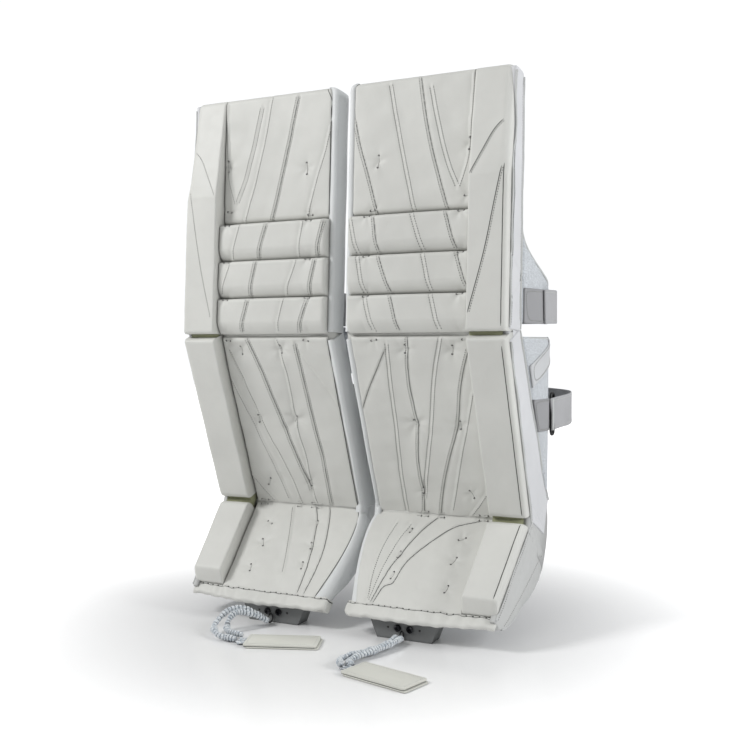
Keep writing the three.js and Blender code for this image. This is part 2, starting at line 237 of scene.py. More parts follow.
FACE = leather("face_leather", rgb(0.70, 0.70, 0.665))
ROLL = leather("roll_leather", rgb(0.71, 0.71, 0.675), grain=0.22)
WALL = leather("wall_leather", rgb(0.71, 0.715, 0.73), roughness=0.50)
EDGE = leather("edge_leather", rgb(0.79, 0.805, 0.805), roughness=0.42)
BOOT_WALL = leather("boot_wall_leather", rgb(0.575, 0.58, 0.57))
LINING = lining("liner_mesh", rgb(0.66, 0.69, 0.72))
BACKING = lining("back_mesh", rgb(0.52, 0.55, 0.58), 300.0)
WEB = webbing("strap_web", rgb(0.44, 0.44, 0.45))
PATCH = leather("strap_patch", rgb(0.36, 0.36, 0.37), roughness=0.42, grain=0.2)
TRIM = leather("tab_trim", rgb(0.64, 0.65, 0.66), roughness=0.45, grain=0.2)
FOAM = leather("foam_core", rgb(0.33, 0.34, 0.215), roughness=0.8, grain=0.6)
BRIDGE_PLASTIC = plastic("bridge_plastic", rgb(0.175, 0.18, 0.18))
BLACK_PLASTIC = plastic("black_plastic", rgb(0.010, 0.010, 0.011), 0.35)
BOLT_STEEL = steel("bolt_steel")
SLEEVE = cloth_sleeve("cord_sleeve")
# Painted shade: the dark tube inside each cord strand, which shows in the dips between its gathered rings.
SLEEVE_FOLD_SHADE = plain("sleeve_fold_shade", rgb(0.085, 0.105, 0.13))
TAB = leather("tab_leather", rgb(0.72, 0.72, 0.66), roughness=0.55)
THREAD = plain("thread", rgb(0.66, 0.66, 0.63))
# Painted shade: needle holes and the toe bridge's small holes are dark discs standing for the shade inside
# them.
HOLE_SHADE = plain("stitch_hole_shade", rgb(0.05, 0.05, 0.048))
GROOVE = plain("seam_shadow", rgb(0.055, 0.058, 0.055))
PIPING = leather("piping", rgb(0.60, 0.61, 0.60), roughness=0.4, grain=0.1)


# ---------------------------------------------------------------- frames and curves

class Frame:
    """A working frame, in mm: u and v lie in a piece's surface, and w points out of it."""

    def __init__(self, origin, u, v, w):
        self.origin = np.array(origin, float)
        self.axes = np.array([u, v, w], float)

    def world(self, points):
        return (self.origin + np.asarray(points, float) @ self.axes) * MM

    def local(self, points):
        return (np.asarray(points, float) / MM - self.origin) @ self.axes.T


def points_of(mesh):
    """A mesh's points as an array."""
    found = np.empty(len(mesh.vertices) * 3)
    mesh.vertices.foreach_get("co", found)
    return found.reshape(-1, 3)


def vertices(node):
    return points_of(NODES[node].data)


def unit(vectors):
    """Rows of vectors, each brought to length 1."""
    return vectors / np.linalg.norm(vectors, axis=-1)[..., None]


def face_normal(node):
    """The outward normal of the biggest flat of a node that looks forward."""
    areas = {}
    for polygon in NODES[node].data.polygons:
        if polygon.normal.y < -0.3:
            key = tuple(round(c, 3) for c in polygon.normal)
            areas[key] = areas.get(key, 0.0) + polygon.area
    normal = np.array(max(areas, key=areas.get))
    return normal / np.linalg.norm(normal)


def section(face_node, lowest_node, core_node, foot):
    """A pad section's frame: u across from the inner edge, v up the section, w out of the face. foot is the
    v of the lowest point of lowest_node's face."""
    w = face_normal(face_node)
    u = np.array([1.0, 0.0, 0.0])
    v = np.cross(w, u)
    found = vertices(face_node) / MM
    plane = found[np.argmax(found @ w)]
    low = vertices(lowest_node) / MM @ v
    origin = plane + v * (low.min() - foot - plane @ v)
    origin[0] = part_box(core_node)[0].x / MM
    return Frame(origin, u, v, w)


def extent(shape, node):
    """Lowest and highest u, v and w of a CAD node in a frame."""
    found = shape.local(vertices(node))
    return found.min(0), found.max(0)


def beside(shape, node):
    """A frame on a section's outer side wall: u runs back from the face, v up the section, w outwards."""
    outer = extent(shape, node)[1][0]
    origin = shape.origin + shape.axes[0] * outer
    return Frame(origin, -shape.axes[2], shape.axes[1], shape.axes[0])


def spline(points, step):
    """A smooth curve through points of any dimension, resampled at about step."""
    p = np.asarray(points, float)
    if len(p) == 2:
        dense = p[0] + np.linspace(0, 1, 60)[:, None] * (p[1] - p[0])
    else:
        spans = np.maximum(np.linalg.norm(np.diff(p, axis=0), axis=1), 1e-9)
        knots = np.concatenate(([0.0], np.cumsum(spans ** 0.5)))
        slopes = np.gradient(p, knots, axis=0)
        rows = []
        for i in range(len(p) - 1):
            h = knots[i + 1] - knots[i]
            t = np.linspace(0, 1, 30, endpoint=i == len(p) - 2)[:, None]
            rows.append((2 * t**3 - 3 * t**2 + 1) * p[i] + (t**3 - 2 * t**2 + t) * h * slopes[i]
                        + (-2 * t**3 + 3 * t**2) * p[i + 1] + (t**3 - t**2) * h * slopes[i + 1])
        dense = np.vstack(rows)
    length = np.concatenate(([0.0], np.cumsum(np.linalg.norm(np.diff(dense, axis=0), axis=1))))
    count = max(2, int(round(length[-1] / step)) + 1)
    wanted = np.linspace(0, length[-1], count)
    return np.stack([np.interp(wanted, length, dense[:, k]) for k in range(p.shape[1])], axis=1)


def smooth(t):
    """An even change from 0 to 1 as t goes from 0 to 1."""
    t = np.clip(t, 0, 1)
    return t * t * (3 - 2 * t)


def ripples(u, v, size, seed):
    """A gentle random surface of about unit height, with waves about size long."""
    rng = np.random.default_rng(seed)
    total, count = 0.0, 7
    for _ in range(count):
        angle, phase, stretch = rng.uniform(0, math.pi), rng.uniform(0, 2 * math.pi), rng.uniform(0.7, 1.6)
        k = 2 * math.pi / (size * stretch)
        total = total + np.sin(k * (math.cos(angle) * u + math.sin(angle) * v) + phase)
    return total / math.sqrt(count)


# ---------------------------------------------------------------- mesh building

class Builder:
    """Gathers world-space vertices and faces for one object."""

    def __init__(self):
        self.vertices, self.faces, self.slots, self.count = [], [], [], 0

    def add(self, points, faces, slot=0):
        points = np.asarray(points, float).reshape(-1, 3)
        self.vertices.append(points)
        self.faces += [tuple(i + self.count for i in face) for face in faces]
        self.slots += [slot] * len(faces)
        self.count += len(points)

    def build(self, name, materials):
        mesh = bpy.data.meshes.new(name)
        mesh.from_pydata(np.vstack(self.vertices).tolist(), [], self.faces)
        for material in materials:
            mesh.materials.append(material)
        mesh.polygons.foreach_set("material_index", self.slots)
        b = bmesh.new()
        b.from_mesh(mesh)
        bmesh.ops.recalc_face_normals(b, faces=b.faces)
        b.to_mesh(mesh)
        b.free()
        return link_smooth(name, mesh)


def level(height):
    """A height field that is the same everywhere."""
    return lambda u, v: height + 0 * u


def link_smooth(name, mesh):
    """A new smooth-shaded object in the scene."""
    mesh.polygons.foreach_set("use_smooth", [True] * len(mesh.polygons))
    obj = bpy.data.objects.new(name, mesh)
    bpy.context.scene.collection.objects.link(obj)
    return obj


def grid_faces(rows, columns, wrap=False):
    """Quads over a grid of points numbered row by row."""
    faces = []
    for i in range(rows - 1):
        here, above = i * columns, (i + 1) * columns
        for j in range(columns if wrap else columns - 1):
            after = (j + 1) % columns
            faces.append((here + j, above + j, above + after, here + after))
    return faces


def tube_faces(rows, count):
    """Quads round a stack of rings, with a cap on the first ring and on the last."""
    last = (rows - 1) * count
    caps = [tuple(range(count)), tuple(range(last + count - 1, last - 1, -1))]
    return grid_faces(rows, count, wrap=True) + caps


def border(rows, columns):
    """The numbers of a grid's outer points, in order round it."""
    right = [i * columns + columns - 1 for i in range(1, rows)]
    far = [(rows - 1) * columns + j for j in range(columns - 2, -1, -1)]
    left = [i * columns for i in range(rows - 2, 0, -1)]
    return list(range(columns)) + right + far + left


def slab_faces(rows, columns):
    """A closed slab: a grid of points, a copy of it underneath, and the rim between them."""
    grid, under, loop = grid_faces(rows, columns), rows * columns, border(rows, columns)
    faces = grid + [tuple(under + k for k in face[::-1]) for face in grid]
    return faces + [(loop[k], loop[k - 1], under + loop[k - 1], under + loop[k]) for k in range(len(loop))]


def sweep(path, normals, profile, scales=None):
    """A closed bar along path. profile holds (sideways, up) pairs: up is along the normals, and sideways is
    the direction of up x forwards."""
    path, normals = np.asarray(path, float), np.asarray(normals, float)
    forward = np.gradient(path, axis=0)
    forward /= np.linalg.norm(forward, axis=1)[:, None] + 1e-12
    side = np.cross(normals, forward)
    side /= np.linalg.norm(side, axis=1)[:, None] + 1e-12
    up = np.cross(forward, side)
    profile = np.asarray(profile, float)
    scales = np.ones(len(path)) if scales is None else np.asarray(scales, float)
    across, above = (profile[None, :, k, None] * scales[:, None, None] for k in (0, 1))
    rings = path[:, None] + side[:, None] * across + up[:, None] * above
    return rings.reshape(-1, 3), tube_faces(len(path), len(profile))


def circle(radius, count=8, squash=1.0):
    """A round profile, or an oval one."""
    angles = 2 * math.pi * np.arange(count) / count
    return np.stack([radius * np.cos(angles), squash * radius * np.sin(angles)], axis=1)


def lines(low, high, step):
    """Grid lines, closer together near both ends."""
    fine = np.array((0.0, 0.7, 1.7, 3.0, 4.8))
    count = max(2, int(round((high - low - 2 * fine[-1]) / step)) + 1)
    inner = np.linspace(low + fine[-1], high - fine[-1], count)
    return np.concatenate((low + fine[:-1], inner, (high - fine[:-1])[::-1]))


def shoulder(distance, radius):
    """How far a rounded border has dropped, at a distance in from its edge."""
    if radius <= 0:
        return 0.0 * distance
    t = np.clip(distance / radius, 0, 1)
    return radius * (1 - np.sqrt(np.clip(1 - (1 - t) ** 2, 0, 1)))


class Sheet:
    """A closed padded panel: a height field over a frame, with rounded borders and a flat back. edges(v)
    gives its two side edges, and a runs from 0 to 1 between them."""

    def __init__(self, shape, edges, low, high, height, back, step=2.2, rounds=(4, 4, 4, 4), seams=(),
                 tacks=(), seed=1, waves=0.35, warp=None):
        self.shape, self.edges, self.warp = shape, edges, warp
        self.low, self.high, self.back = low, high, back
        left, right = edges(np.array([low, (low + high) / 2, high]))
        width = max(right - left)
        self.a = lines(0, width, step) / width
        self.v = lines(low, high, step)
        v, a = np.meshgrid(self.v, self.a, indexing="ij")
        ua, ub = edges(v)
        u = ua + a * (ub - ua)
        w = height(u, v) + waves * ripples(u, v, 70, seed) + 0.25 * waves * ripples(u, v, 24, seed + 1)
        for distance, radius in zip((u - ua, ub - u, v - low, high - v), rounds):
            w -= shoulder(distance, radius)
        for points, lip, bold in [s[:3] for s in seams]:
            w += self.ridge(u, v, points, lip, 1.25 if bold else 0.75)
        for dimple in tacks:
            w -= self.pucker(u, v, *dimple)
        self.u, self.w = u, np.maximum(w, back + 0.6)

    def pucker(self, u, v, at, along, depth, radius):
        """How far the leather is pulled in round a tack: a dimple with folds running into it."""
        du, dv = np.moveaxis(np.stack([u, v], axis=-1) - self.to_mm([(at, along)])[0], -1, 0)
        r, angle = np.hypot(du, dv), np.arctan2(dv, du)
        folds = 1 + 0.5 * np.sin(5 * angle + 7.0 * at + along) * (1 - np.exp(-((r / (0.7 * radius)) ** 2)))
        skirt = 0.45 * depth * folds * np.exp(-((r / (2.8 * radius)) ** 2))
        return depth * np.exp(-((r / radius) ** 1.6)) + skirt

    def ridge(self, u, v, points, lip, size):
        """A lapped seam's relief: raised on its lip's side and sunken on the other."""
        path = spline(self.to_mm(points), 3.0)
        forward = unit(np.gradient(path, axis=0))
        flat = np.stack([u.ravel(), v.ravel()], axis=1)
        near = np.argmin(((flat[:, None] - path[None]) ** 2).sum(2), axis=1)
        offset, along = flat - path[near], forward[near]
        side = (offset[:, 1] * along[:, 0] - offset[:, 0] * along[:, 1]) * lip
        beyond = np.abs((offset * along).sum(1))
        rise = np.where(side > 0, size * np.exp(-side / 8.0), -0.8 * size * np.exp(-((side / 4.5) ** 2)))
        return (rise * np.exp(-((beyond / 5.0) ** 2))).reshape(u.shape)

    def to_mm(self, points):
        """(a, v) pairs as (u, v) pairs in mm."""
        points = np.asarray(points, float)
        ua, ub = self.edges(points[:, 1])
        return np.stack([ua + points[:, 0] * (ub - ua), points[:, 1]], axis=1)

    def on_sheet(self, points, margin):
        """The points that lie on the panel, at least margin mm inside its border."""
        ua, ub = self.edges(points[:, 1])
        inside = (points[:, 1] > self.low + margin) & (points[:, 1] < self.high - margin)
        return points[inside & (points[:, 0] > ua + margin) & (points[:, 0] < ub - margin)]

    def surface(self, points):
        """(u, v) pairs as (u, v, w) on the surface."""
        u, v = points[:, 0], np.clip(points[:, 1], self.low, self.high)
        ua, ub = self.edges(v)
        a = np.clip((u - ua) / (ub - ua), 0, 1)
        j = np.clip(np.searchsorted(self.a, a) - 1, 0, len(self.a) - 2)
        i = np.clip(np.searchsorted(self.v, v) - 1, 0, len(self.v) - 2)
        fa = (a - self.a[j]) / (self.a[j + 1] - self.a[j])
        fv = (v - self.v[i]) / (self.v[i + 1] - self.v[i])
        w = ((1 - fv) * ((1 - fa) * self.w[i, j] + fa * self.w[i, j + 1])
             + fv * ((1 - fa) * self.w[i + 1, j] + fa * self.w[i + 1, j + 1]))
        return np.stack([u, v, w], axis=1)

    def normals(self, points):
        """The surface's outward directions at (u, v) pairs."""
        e = 0.8
        du = self.surface(points + [e, 0]) - self.surface(points - [e, 0])
        dv = self.surface(points + [0, e]) - self.surface(points - [0, e])
        return unit(np.cross(du, dv))

    def world(self, points):
        return self.shape.world(self.warp(points) if self.warp else points)

    def lay(self, points, step=2.5, margin=1.0, shift=0.0):
        """World positions and normals along a curve through (a, v) pairs. shift moves it sideways, in mm."""
        path = spline(self.to_mm(points), step)
        if shift:
            forward = unit(np.gradient(path, axis=0))
            path = path + shift * np.stack([-forward[:, 1], forward[:, 0]], axis=1)
        path = self.on_sheet(path, margin)
        if len(path) < 3:
            return None
        return self.world(self.surface(path)), self.normals(path) @ self.shape.axes

    def solid(self):
        """The panel as a builder: its top, its rim and its flat back."""
        rows, columns = self.w.shape
        v = np.repeat(self.v[:, None], columns, axis=1)
        top = np.stack([self.u, v, self.w], axis=-1).reshape(-1, 3)
        loop = border(rows, columns)
        below = top[loop].copy()
        below[:, 2] = self.back
        count, first = len(loop), len(top)
        faces = grid_faces(rows, columns)
        faces += [(loop[k], loop[(k + 1) % count], first + (k + 1) % count, first + k) for k in range(count)]
        faces.append(tuple(range(first, first + count)))
        builder = Builder()
        builder.add(self.world(np.vstack([top, below])), faces)
        return builder


# ---------------------------------------------------------------- sewing

def sewing():
    """Empty builders for one panel's dark lines, threads and needle holes."""
    return {"line": Builder(), "line_right": Builder(), "thread": Builder(), "hole": Builder()}


def dark_line(sheet, out, points, shift=0.0, width=0.42, margin=1.0, sides=("left", "right")):
    """The shadowed slit at the foot of a seam's step."""
    laid = sheet.lay(points, shift=shift, margin=margin)
    if laid is None:
        return
    order = np.arange(len(laid[0]))
    ends = np.minimum(1, np.minimum(order, order[::-1]) / 3.0 + 0.3)
    slit = np.array([(-width, -0.9), (-width, 0.2), (0, 0.34), (width, 0.2), (width, -0.9)]) * MM
    for side in sides:
        out["line" if side == "left" else "line_right"].add(*sweep(*laid, slit, ends))


def seam(sheet, out, points, lip, bold=True, stitched=True, double=False):
    """A lapped seam, drawn from the top down. lip is +1 when its outer side is on top, and -1 when its inner
    side is. The pads are mirror images, so a bold seam opens away from the light on one pad only."""
    if bold:
        dark_line(sheet, out, points, shift=-0.5 * lip, sides=("left",) if lip < 0 else ("right",))
    if stitched:
        stitches(sheet, out, points, 3.2 * lip)
    if double:
        stitches(sheet, out, points, -3.4 * lip)


def stitches(sheet, out, points, shift=0.0, pitch=4.0, length=2.2, width=0.42, lift=0.0, hole=0.8):
    """A row of separate thread stitches, each with a dark needle hole after it."""
    laid = sheet.lay(points, step=pitch / 4, margin=0.8, shift=shift)
    if laid is None:
        return
    path, normals = laid
    path = path + normals * lift * MM
    span = max(3, int(round(4 * length / pitch)) + 1)
    for start in range(0, len(path) - 4, 4):
        part, n = path[start:start + span], normals[start:start + span]
        arch = np.sin(np.linspace(0.2, math.pi - 0.2, len(part)))[:, None]
        out["thread"].add(*sweep(part + n * arch * 0.25 * MM, n, circle(width * MM, 5, 0.7)))
        add_hole(out["hole"], path[min(start + span, len(path) - 1)], normals[start], hole)


def add_hole(builder, center, normal, radius):
    """A small needle hole, as a dark disc: painted shade inside it."""
    normal = normal / np.linalg.norm(normal)
    side = np.cross(normal, (0.3, 0.1, 0.9))
    side /= np.linalg.norm(side)
    other = np.cross(normal, side)
    ring = [center + (side * math.cos(t) + other * math.sin(t)) * radius * MM + normal * 0.08 * MM
            for t in np.linspace(0, 2 * math.pi, 9)[:-1]]
    builder.add(ring + [center + normal * 0.3 * MM, center - normal * 0.9 * MM],
                [(i, (i + 1) % 8, 8) for i in range(8)] + [((i + 1) % 8, i, 9) for i in range(8)])


def tack(sheet, out, at, along, length, angle):
    """A lacing tack: two dark holes joined by a short thick thread. angle is in degrees from straight up."""
    lean = math.radians(angle)
    centre = sheet.to_mm([(at, along)])[0]
    half = np.array([math.sin(lean), math.cos(lean)]) * length / 2
    path = np.linspace(centre - half, centre + half, 9)
    points = sheet.surface(path)
    normals = sheet.normals(path) @ sheet.shape.axes
    world = sheet.world(points)
    thin = np.interp(np.arange(9), [0, 2, 6, 8], [0.6, 1, 1, 0.6])
    out["thread"].add(*sweep(world + normals * 0.35 * MM, normals, circle(0.95 * MM, 8, 0.8), thin))
    for k in (0, -1):
        add_hole(out["hole"], world[k] + normals[k] * 0.35 * MM, normals[k], 1.7)


# ---------------------------------------------------------------- placing pieces on both pads

def mirrored(obj):
    """The same piece for the right pad."""
    copy = obj.copy()
    copy.data = obj.data.copy()
    copy.name = copy.data.name = obj.name.replace("_left", "_right")
    copy.data.vertices.foreach_set("co", (points_of(copy.data) * [-1, 1, 1]).ravel())
    copy.data.flip_normals()
    bpy.context.scene.collection.objects.link(copy)
    return copy


def place(obj, body, slot, *nodes):
    """Puts a left piece on its body, standing for its nodes, and its mirror image on the right pad."""
    other = mirrored(obj)
    place_one(obj, "left", body, slot, *nodes)
    place_one(other, "right", body, slot, *nodes)


def finish(builder, name, material, body, slot, *nodes):
    """Builds a left piece, and puts it and its mirror image on both pads."""
    place(builder.build(name + "_left", [material]), body, slot, *nodes)


def keep(obj, side, body, slot, *nodes):
    """Puts a left piece on the left pad, or only its mirror image on the right pad."""
    if side == "right":
        other = mirrored(obj)
        bpy.data.objects.remove(obj)
        obj = other
    place_one(obj, side, body, slot, *nodes)


def place_one(piece, side, body, slot, *nodes):
    """Puts a piece on one pad's body, standing for that pad's nodes."""
    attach(piece, body + "_" + side)
    if nodes:
        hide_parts(*[node + "_" + side for node in nodes])


def place_panel(sheet, name, body, slot, material, *nodes):
    """Puts a sheet on both pads as a closed piece."""
    finish(sheet.solid(), name, material, body, slot, *nodes)


def place_sewing(out, name, body, slot, only=None):
    """The dark lines, stitches and holes of one panel, each kind as one piece."""
    for kind, material in (("thread", THREAD), ("hole", HOLE_SHADE)):
        if out[kind].faces:
            obj = out[kind].build(f"{name}_{kind}s_left", [material])
            if only:
                keep(obj, only, body, slot)
            else:
                place(obj, body, slot)
    for side, kind in (("left", "line"), ("right", "line_right")):
        if out[kind].faces and only in (None, side):
            keep(out[kind].build(f"{name}_seam_lines_left", [GROOVE]), side, body, slot)


def bridge_block(name, first, second, material, rows=9, swell=0.0):
    """A soft filler across a joint. first and second are (body, frame, height v, ring), a ring being a list
    of (u, w) pairs, and swell pushes its middle out at the back. The body in first and second is not used."""
    rings = []
    for t in np.linspace(0, 1, rows):
        ends = [shape.world([(u, v, w) for u, w in ring]) for _, shape, v, ring in (first, second)]
        depth = sum(end - end[0] for end in ends) / 2
        rings.append(ends[0] * (1 - t) + ends[1] * t + swell * math.sin(math.pi * t) * depth * [0, 1, 1])
    builder = Builder()
    builder.add(np.vstack(rings), tube_faces(rows, len(first[3])))
    obj = builder.build(name + "_left", [material])
    other = mirrored(obj)
    for piece, side, flip in ((obj, "left", 1), (other, "right", -1)):
        start, end = rings[0].mean(0) * [flip, 1, 1], rings[-1].mean(0) * [flip, 1, 1]
        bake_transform(piece)
        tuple(start)
        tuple(end)


# ---------------------------------------------------------------- sizes taken from the frame

thigh = section("thigh_face_left", "knee_roll_lower_left", "shin_core_left", 3.2)
shin = section("shin_face_left", "shin_face_left", "shin_core_left", 0.4)
boot = section("boot_face_left", "boot_face_left", "shin_core_left", -21.8)
X0, Y0 = thigh.origin[:2]  # the pad frame's own x = 0 and y = 0
pad = Frame((X0, Y0, 0), (1, 0, 0), (0, 1, 0), (0, 0, 1))

FACE_LOW, FACE_HIGH = extent(shin, "shin_face_left")
ROLL_LOW, ROLL_HIGH = extent(shin, "shin_outer_roll_left")
PAD_WIDTH = extent(shin, "shin_side_wall_left")[1][0]
CORE_BACK = extent(thigh, "thigh_core_left")[0][2]
FACE_BACK = FACE_LOW[2]
THIGH_TOP = extent(thigh, "thigh_face_left")[1][1]
SHIN_TOP = FACE_HIGH[1]
BOOT_TOP = extent(boot, "boot_face_left")[1][1]
FACE_START = 10.0  # the face starts beside the rounded inner edge
FACE_END = FACE_HIGH[0]
ROLL_START, ROLL_END = ROLL_LOW[0], ROLL_HIGH[0]
ROLL_OUT = PAD_WIDTH - 1.5
ROLLS_TOP = extent(thigh, "knee_roll_upper_left")[1][1]


def straight(start, end):
    """Side edges straight up the panel."""
    return lambda v: (np.full(np.shape(v), float(start)), np.full(np.shape(v), float(end)))


def rounded_top(start, end, top, inner=0.0, outer=0.0):
    """Side edges that round in at the panel's top corners."""
    def cut(v, radius):
        return shoulder(np.clip(top - v, 0, None), radius) if radius else 0.0 * v
    return lambda v: (start + cut(v, inner), end - cut(v, outer))


TOE_IN, TOE_OUT = 13.0, 16.0  # how far the boot draws in at the toe, on its inner and its outer side


def to_toe(v):
    """0 at the boot's top and 1 at its toe."""
    return np.clip(1 - np.asarray(v, float) / BOOT_TOP, 0, 1.12)


def tapered(start, end):
    """The boot's side edges, which draw in towards the toe."""
    def at(x, v):
        return TOE_IN * to_toe(v) + (PAD_WIDTH - (TOE_IN + TOE_OUT) * to_toe(v)) * x / PAD_WIDTH
    return lambda v: (at(start, v), at(end, v))


def bulge(v):
    """How far the boot swells out on its inner side: most just below the ankle."""
    return 9.5 * np.sin(math.pi * np.clip(to_toe(v), 0, 1) ** 0.6)


def bowed(start, reach, end):
    """As tapered, but the inner edge bows out before it turns in, by reach mm at the toe."""
    def edges(v):
        return start + reach * np.clip(to_toe(v), 0, 1) ** 2.2 - bulge(v), tapered(0, end)(v)[1]
    return edges


# ---------------------------------------------------------------- thigh

# A seam: its curve of (share of the face's width, height), lip side, dark line, stitched, second stitch row.
THIGH_SEAMS = [
    ([(0.0, 352), (0.06, 300), (0.12, 262), (0.195, 208), (0.215, 190), (0.265, 127), (0.37, 64), (0.45, 0)],
     -1, True, True, False),
    ([(0.31, 396), (0.375, 330), (0.44, 270), (0.515, 205), (0.55, 180), (0.63, 127), (0.70, 64), (0.78, 0)],
     1, True, True, True),
    ([(0.555, 402), (0.62, 330), (0.69, 270), (0.775, 211), (0.81, 188), (0.895, 127), (0.98, 72)],
     -1, True, True, False),
    ([(0.65, 385), (0.72, 320), (0.80, 262), (0.875, 226)], 1, False, True, True),
    ([(0.985, 395), (0.965, 330), (0.945, 270), (0.88, 226)], 1, False, True, False),
    ([(0.015, 190), (0.085, 127), (0.15, 64), (0.24, 0)], 1, True, True, True),
]
# A tack: share of the face's width, height, length, angle.
THIGH_TACKS = [(0.215, 275, 19, 4), (0.965, 290, 18, 4), (0.175, 198, 8, 84), (0.95, 212, 8, 80)]
ROLL_TACKS = [(0.16, 9, 86), (0.93, 9, 86)]


def edge_line(sheet, out):
    """The dark slit between a face and the rounded inner edge."""
    path = [(0.0, v) for v in np.linspace(sheet.high, sheet.low, 12)]
    dark_line(sheet, out, path, shift=0.9, width=0.55, margin=0.3, sides=("right",))


def sew_face(sheet, name, body, seams, tacks, only=None):
    """A face's seams, its tacks and the slit along its inner edge."""
    out = sewing()
    for row in seams:
        seam(sheet, out, *row)
    for spot in tacks:
        tack(sheet, out, *spot)
    edge_line(sheet, out)
    place_sewing(out, name, body, "face_leather", only)


def make_thigh_face():
    edges = rounded_top(FACE_START, FACE_END, THIGH_TOP, inner=9.0)
    low = ROLLS_TOP + 0.6

    def height(u, v):
        return 0.8 * np.sin(math.pi * np.clip((v - low) / (THIGH_TOP - low), 0, 1)) ** 0.5 + 0 * u
    dimples = [(at, along, 2.4, 6.5) for at, along, _, _ in THIGH_TACKS]
    sheet = Sheet(thigh, edges, low, THIGH_TOP, height, FACE_BACK, rounds=(3.5, 2, 10, 8), waves=0.5,
                  seams=THIGH_SEAMS, tacks=dimples, seed=3)
    place_panel(sheet, "thigh_face", "thigh", "face_leather", FACE, "thigh_face")
    sew_face(sheet, "thigh_face", "thigh", THIGH_SEAMS, THIGH_TACKS)


def make_knee_rolls():
    proud = extent(thigh, "knee_roll_lower_left")[1][2]
    valley = 3.0
    for index, name in enumerate(("lower", "middle", "upper")):
        found = extent(thigh, f"knee_roll_{name}_left")
        low, high = found[0][1] + 0.1, found[1][1] + 0.1

        def height(u, v):
            under = 1 - (1 - np.clip((v - low) / 21.0, 0, 1)) ** 1.7
            over = np.sqrt(np.clip(1 - (1 - np.clip((high - v) / 5.0, 0, 1)) ** 2, 0, 1))
            return valley + (proud - valley) * under * over + 0 * u
        dimples = [(at, high - 1, 3.0, 7.0) for at, _, _ in ROLL_TACKS]
        dimples += [(at, low + 1, 2.0, 6.0) for at, _, _ in ROLL_TACKS]
        sheet = Sheet(thigh, straight(FACE_START - 1, FACE_END), low, high, height, FACE_BACK, waves=0.4,
                      rounds=(6, 3, 1.5, 1.5), seams=THIGH_SEAMS, tacks=dimples, seed=11 + index)
        place_panel(sheet, "knee_roll_" + name, "thigh", "face_leather", FACE, "knee_roll_" + name)
        out = sewing()
        for row in THIGH_SEAMS:
            seam(sheet, out, *row)
        for at, length, angle in ROLL_TACKS:
            tack(sheet, out, at, high - 3.0, length, angle)
        place_sewing(out, "knee_roll_" + name, "thigh", "face_leather")


def thigh_roll_height(v):
    """The outer roll's height: nearly level with the face at the top, fully raised beside the knee rolls."""
    full = extent(thigh, "thigh_outer_roll_left")[1][2]
    return 1.2 + (full - 1.2) * np.clip((THIGH_TOP - v) / (THIGH_TOP - 235), 0, 1)


def corner_line(sheet, out, top, bottom):
    """The crease along a roll's outer corner, seen on the pad whose outer side faces away from the light."""
    path = [(0.885, v) for v in np.linspace(top, bottom, 6)]
    dark_line(sheet, out, path, width=0.6, sides=("left",))


def make_thigh_roll():
    low, high = extent(thigh, "thigh_outer_roll_left")
    start = low[1] - 3.0

    def height(u, v):
        chamfer = 7.0 * np.clip((u - ROLL_OUT + 11) / 11, 0, 1) * smooth((v - 225) / 50)
        return thigh_roll_height(v) - chamfer
    edges = rounded_top(ROLL_START, ROLL_OUT, high[1], outer=9.0)
    sheet = Sheet(thigh, edges, start, high[1], height, FACE_BACK, rounds=(3.0, 7.0, 6, 8), waves=0.4,
                  seed=21, step=2.8)
    place_panel(sheet, "thigh_outer_roll", "thigh", "roll_leather", ROLL, "thigh_outer_roll")
    out = sewing()
    upper = [(0.80, 318), (0.60, 305), (0.31, 272), (0.03, 238)]
    lower = [(0.83, 246), (0.71, 208), (0.43, 120), (0.05, 30)]
    for points in (upper, lower):
        dark_line(sheet, out, points, width=0.6, sides=("left",))
        stitches(sheet, out, points, 2.5)
    corner_line(sheet, out, 250, 10)
    place_sewing(out, "thigh_outer_roll", "thigh", "roll_leather")


# ---------------------------------------------------------------- shin

SHIN_SEAMS = [
    ([(0.275, 292), (0.19, 262), (0.12, 238), (0.05, 212), (0.005, 192)], -1, True, False, False),
    ([(0.305, 304), (0.285, 232), (0.272, 160), (0.25, 90), (0.25, 4)], 1, True, True, True),
    ([(0.485, 316), (0.445, 242), (0.455, 158), (0.42, 98), (0.42, 36), (0.40, 3)], -1, True, True, False),
    ([(0.76, 316), (0.67, 254), (0.578, 166), (0.50, 98), (0.455, 60), (0.425, 30)], 1, True, True, True),
    ([(0.965, 294), (0.88, 242), (0.785, 158), (0.675, 98), (0.60, 50), (0.547, 3)], -1, True, True, False),
    ([(0.985, 246), (0.86, 162), (0.766, 98), (0.645, 10)], 1, False, True, False),
    ([(0.985, 56), (0.90, 30), (0.80, 4)], 1, False, True, False),
]
SHIN_TACKS = [(0.20, 309, 9, 80), (0.45, 294, 13, 6), (0.835, 292, 14, 6), (0.945, 309, 8, 86),
              (0.445, 166, 12, -35), (0.815, 164, 13, 2), (0.42, 44, 10, 6), (0.835, 42, 14, -28)]
# The tacks with deeper dimples, by height: (depth, radius).
SHIN_DIMPLES = {166: (5.0, 11.0), 164: (3.4, 9.0), 294: (3.4, 8.0), 292: (3.4, 8.0)}


def make_shin_face():
    low, high = FACE_LOW[1], SHIN_TOP
    dimples = [(at, along, *SHIN_DIMPLES.get(along, (2.2, 6.5))) for at, along, _, _ in SHIN_TACKS]
    sheet = Sheet(shin, straight(FACE_START, FACE_END), low, high, level(0.6), FACE_BACK,
                  rounds=(3.5, 2, 1.5, 6), seams=SHIN_SEAMS, tacks=dimples, seed=31, waves=0.75)
    place_panel(sheet, "shin_face", "shin", "face_leather", FACE, "shin_face")
    sew_face(sheet, "shin_face", "shin", SHIN_SEAMS, SHIN_TACKS)


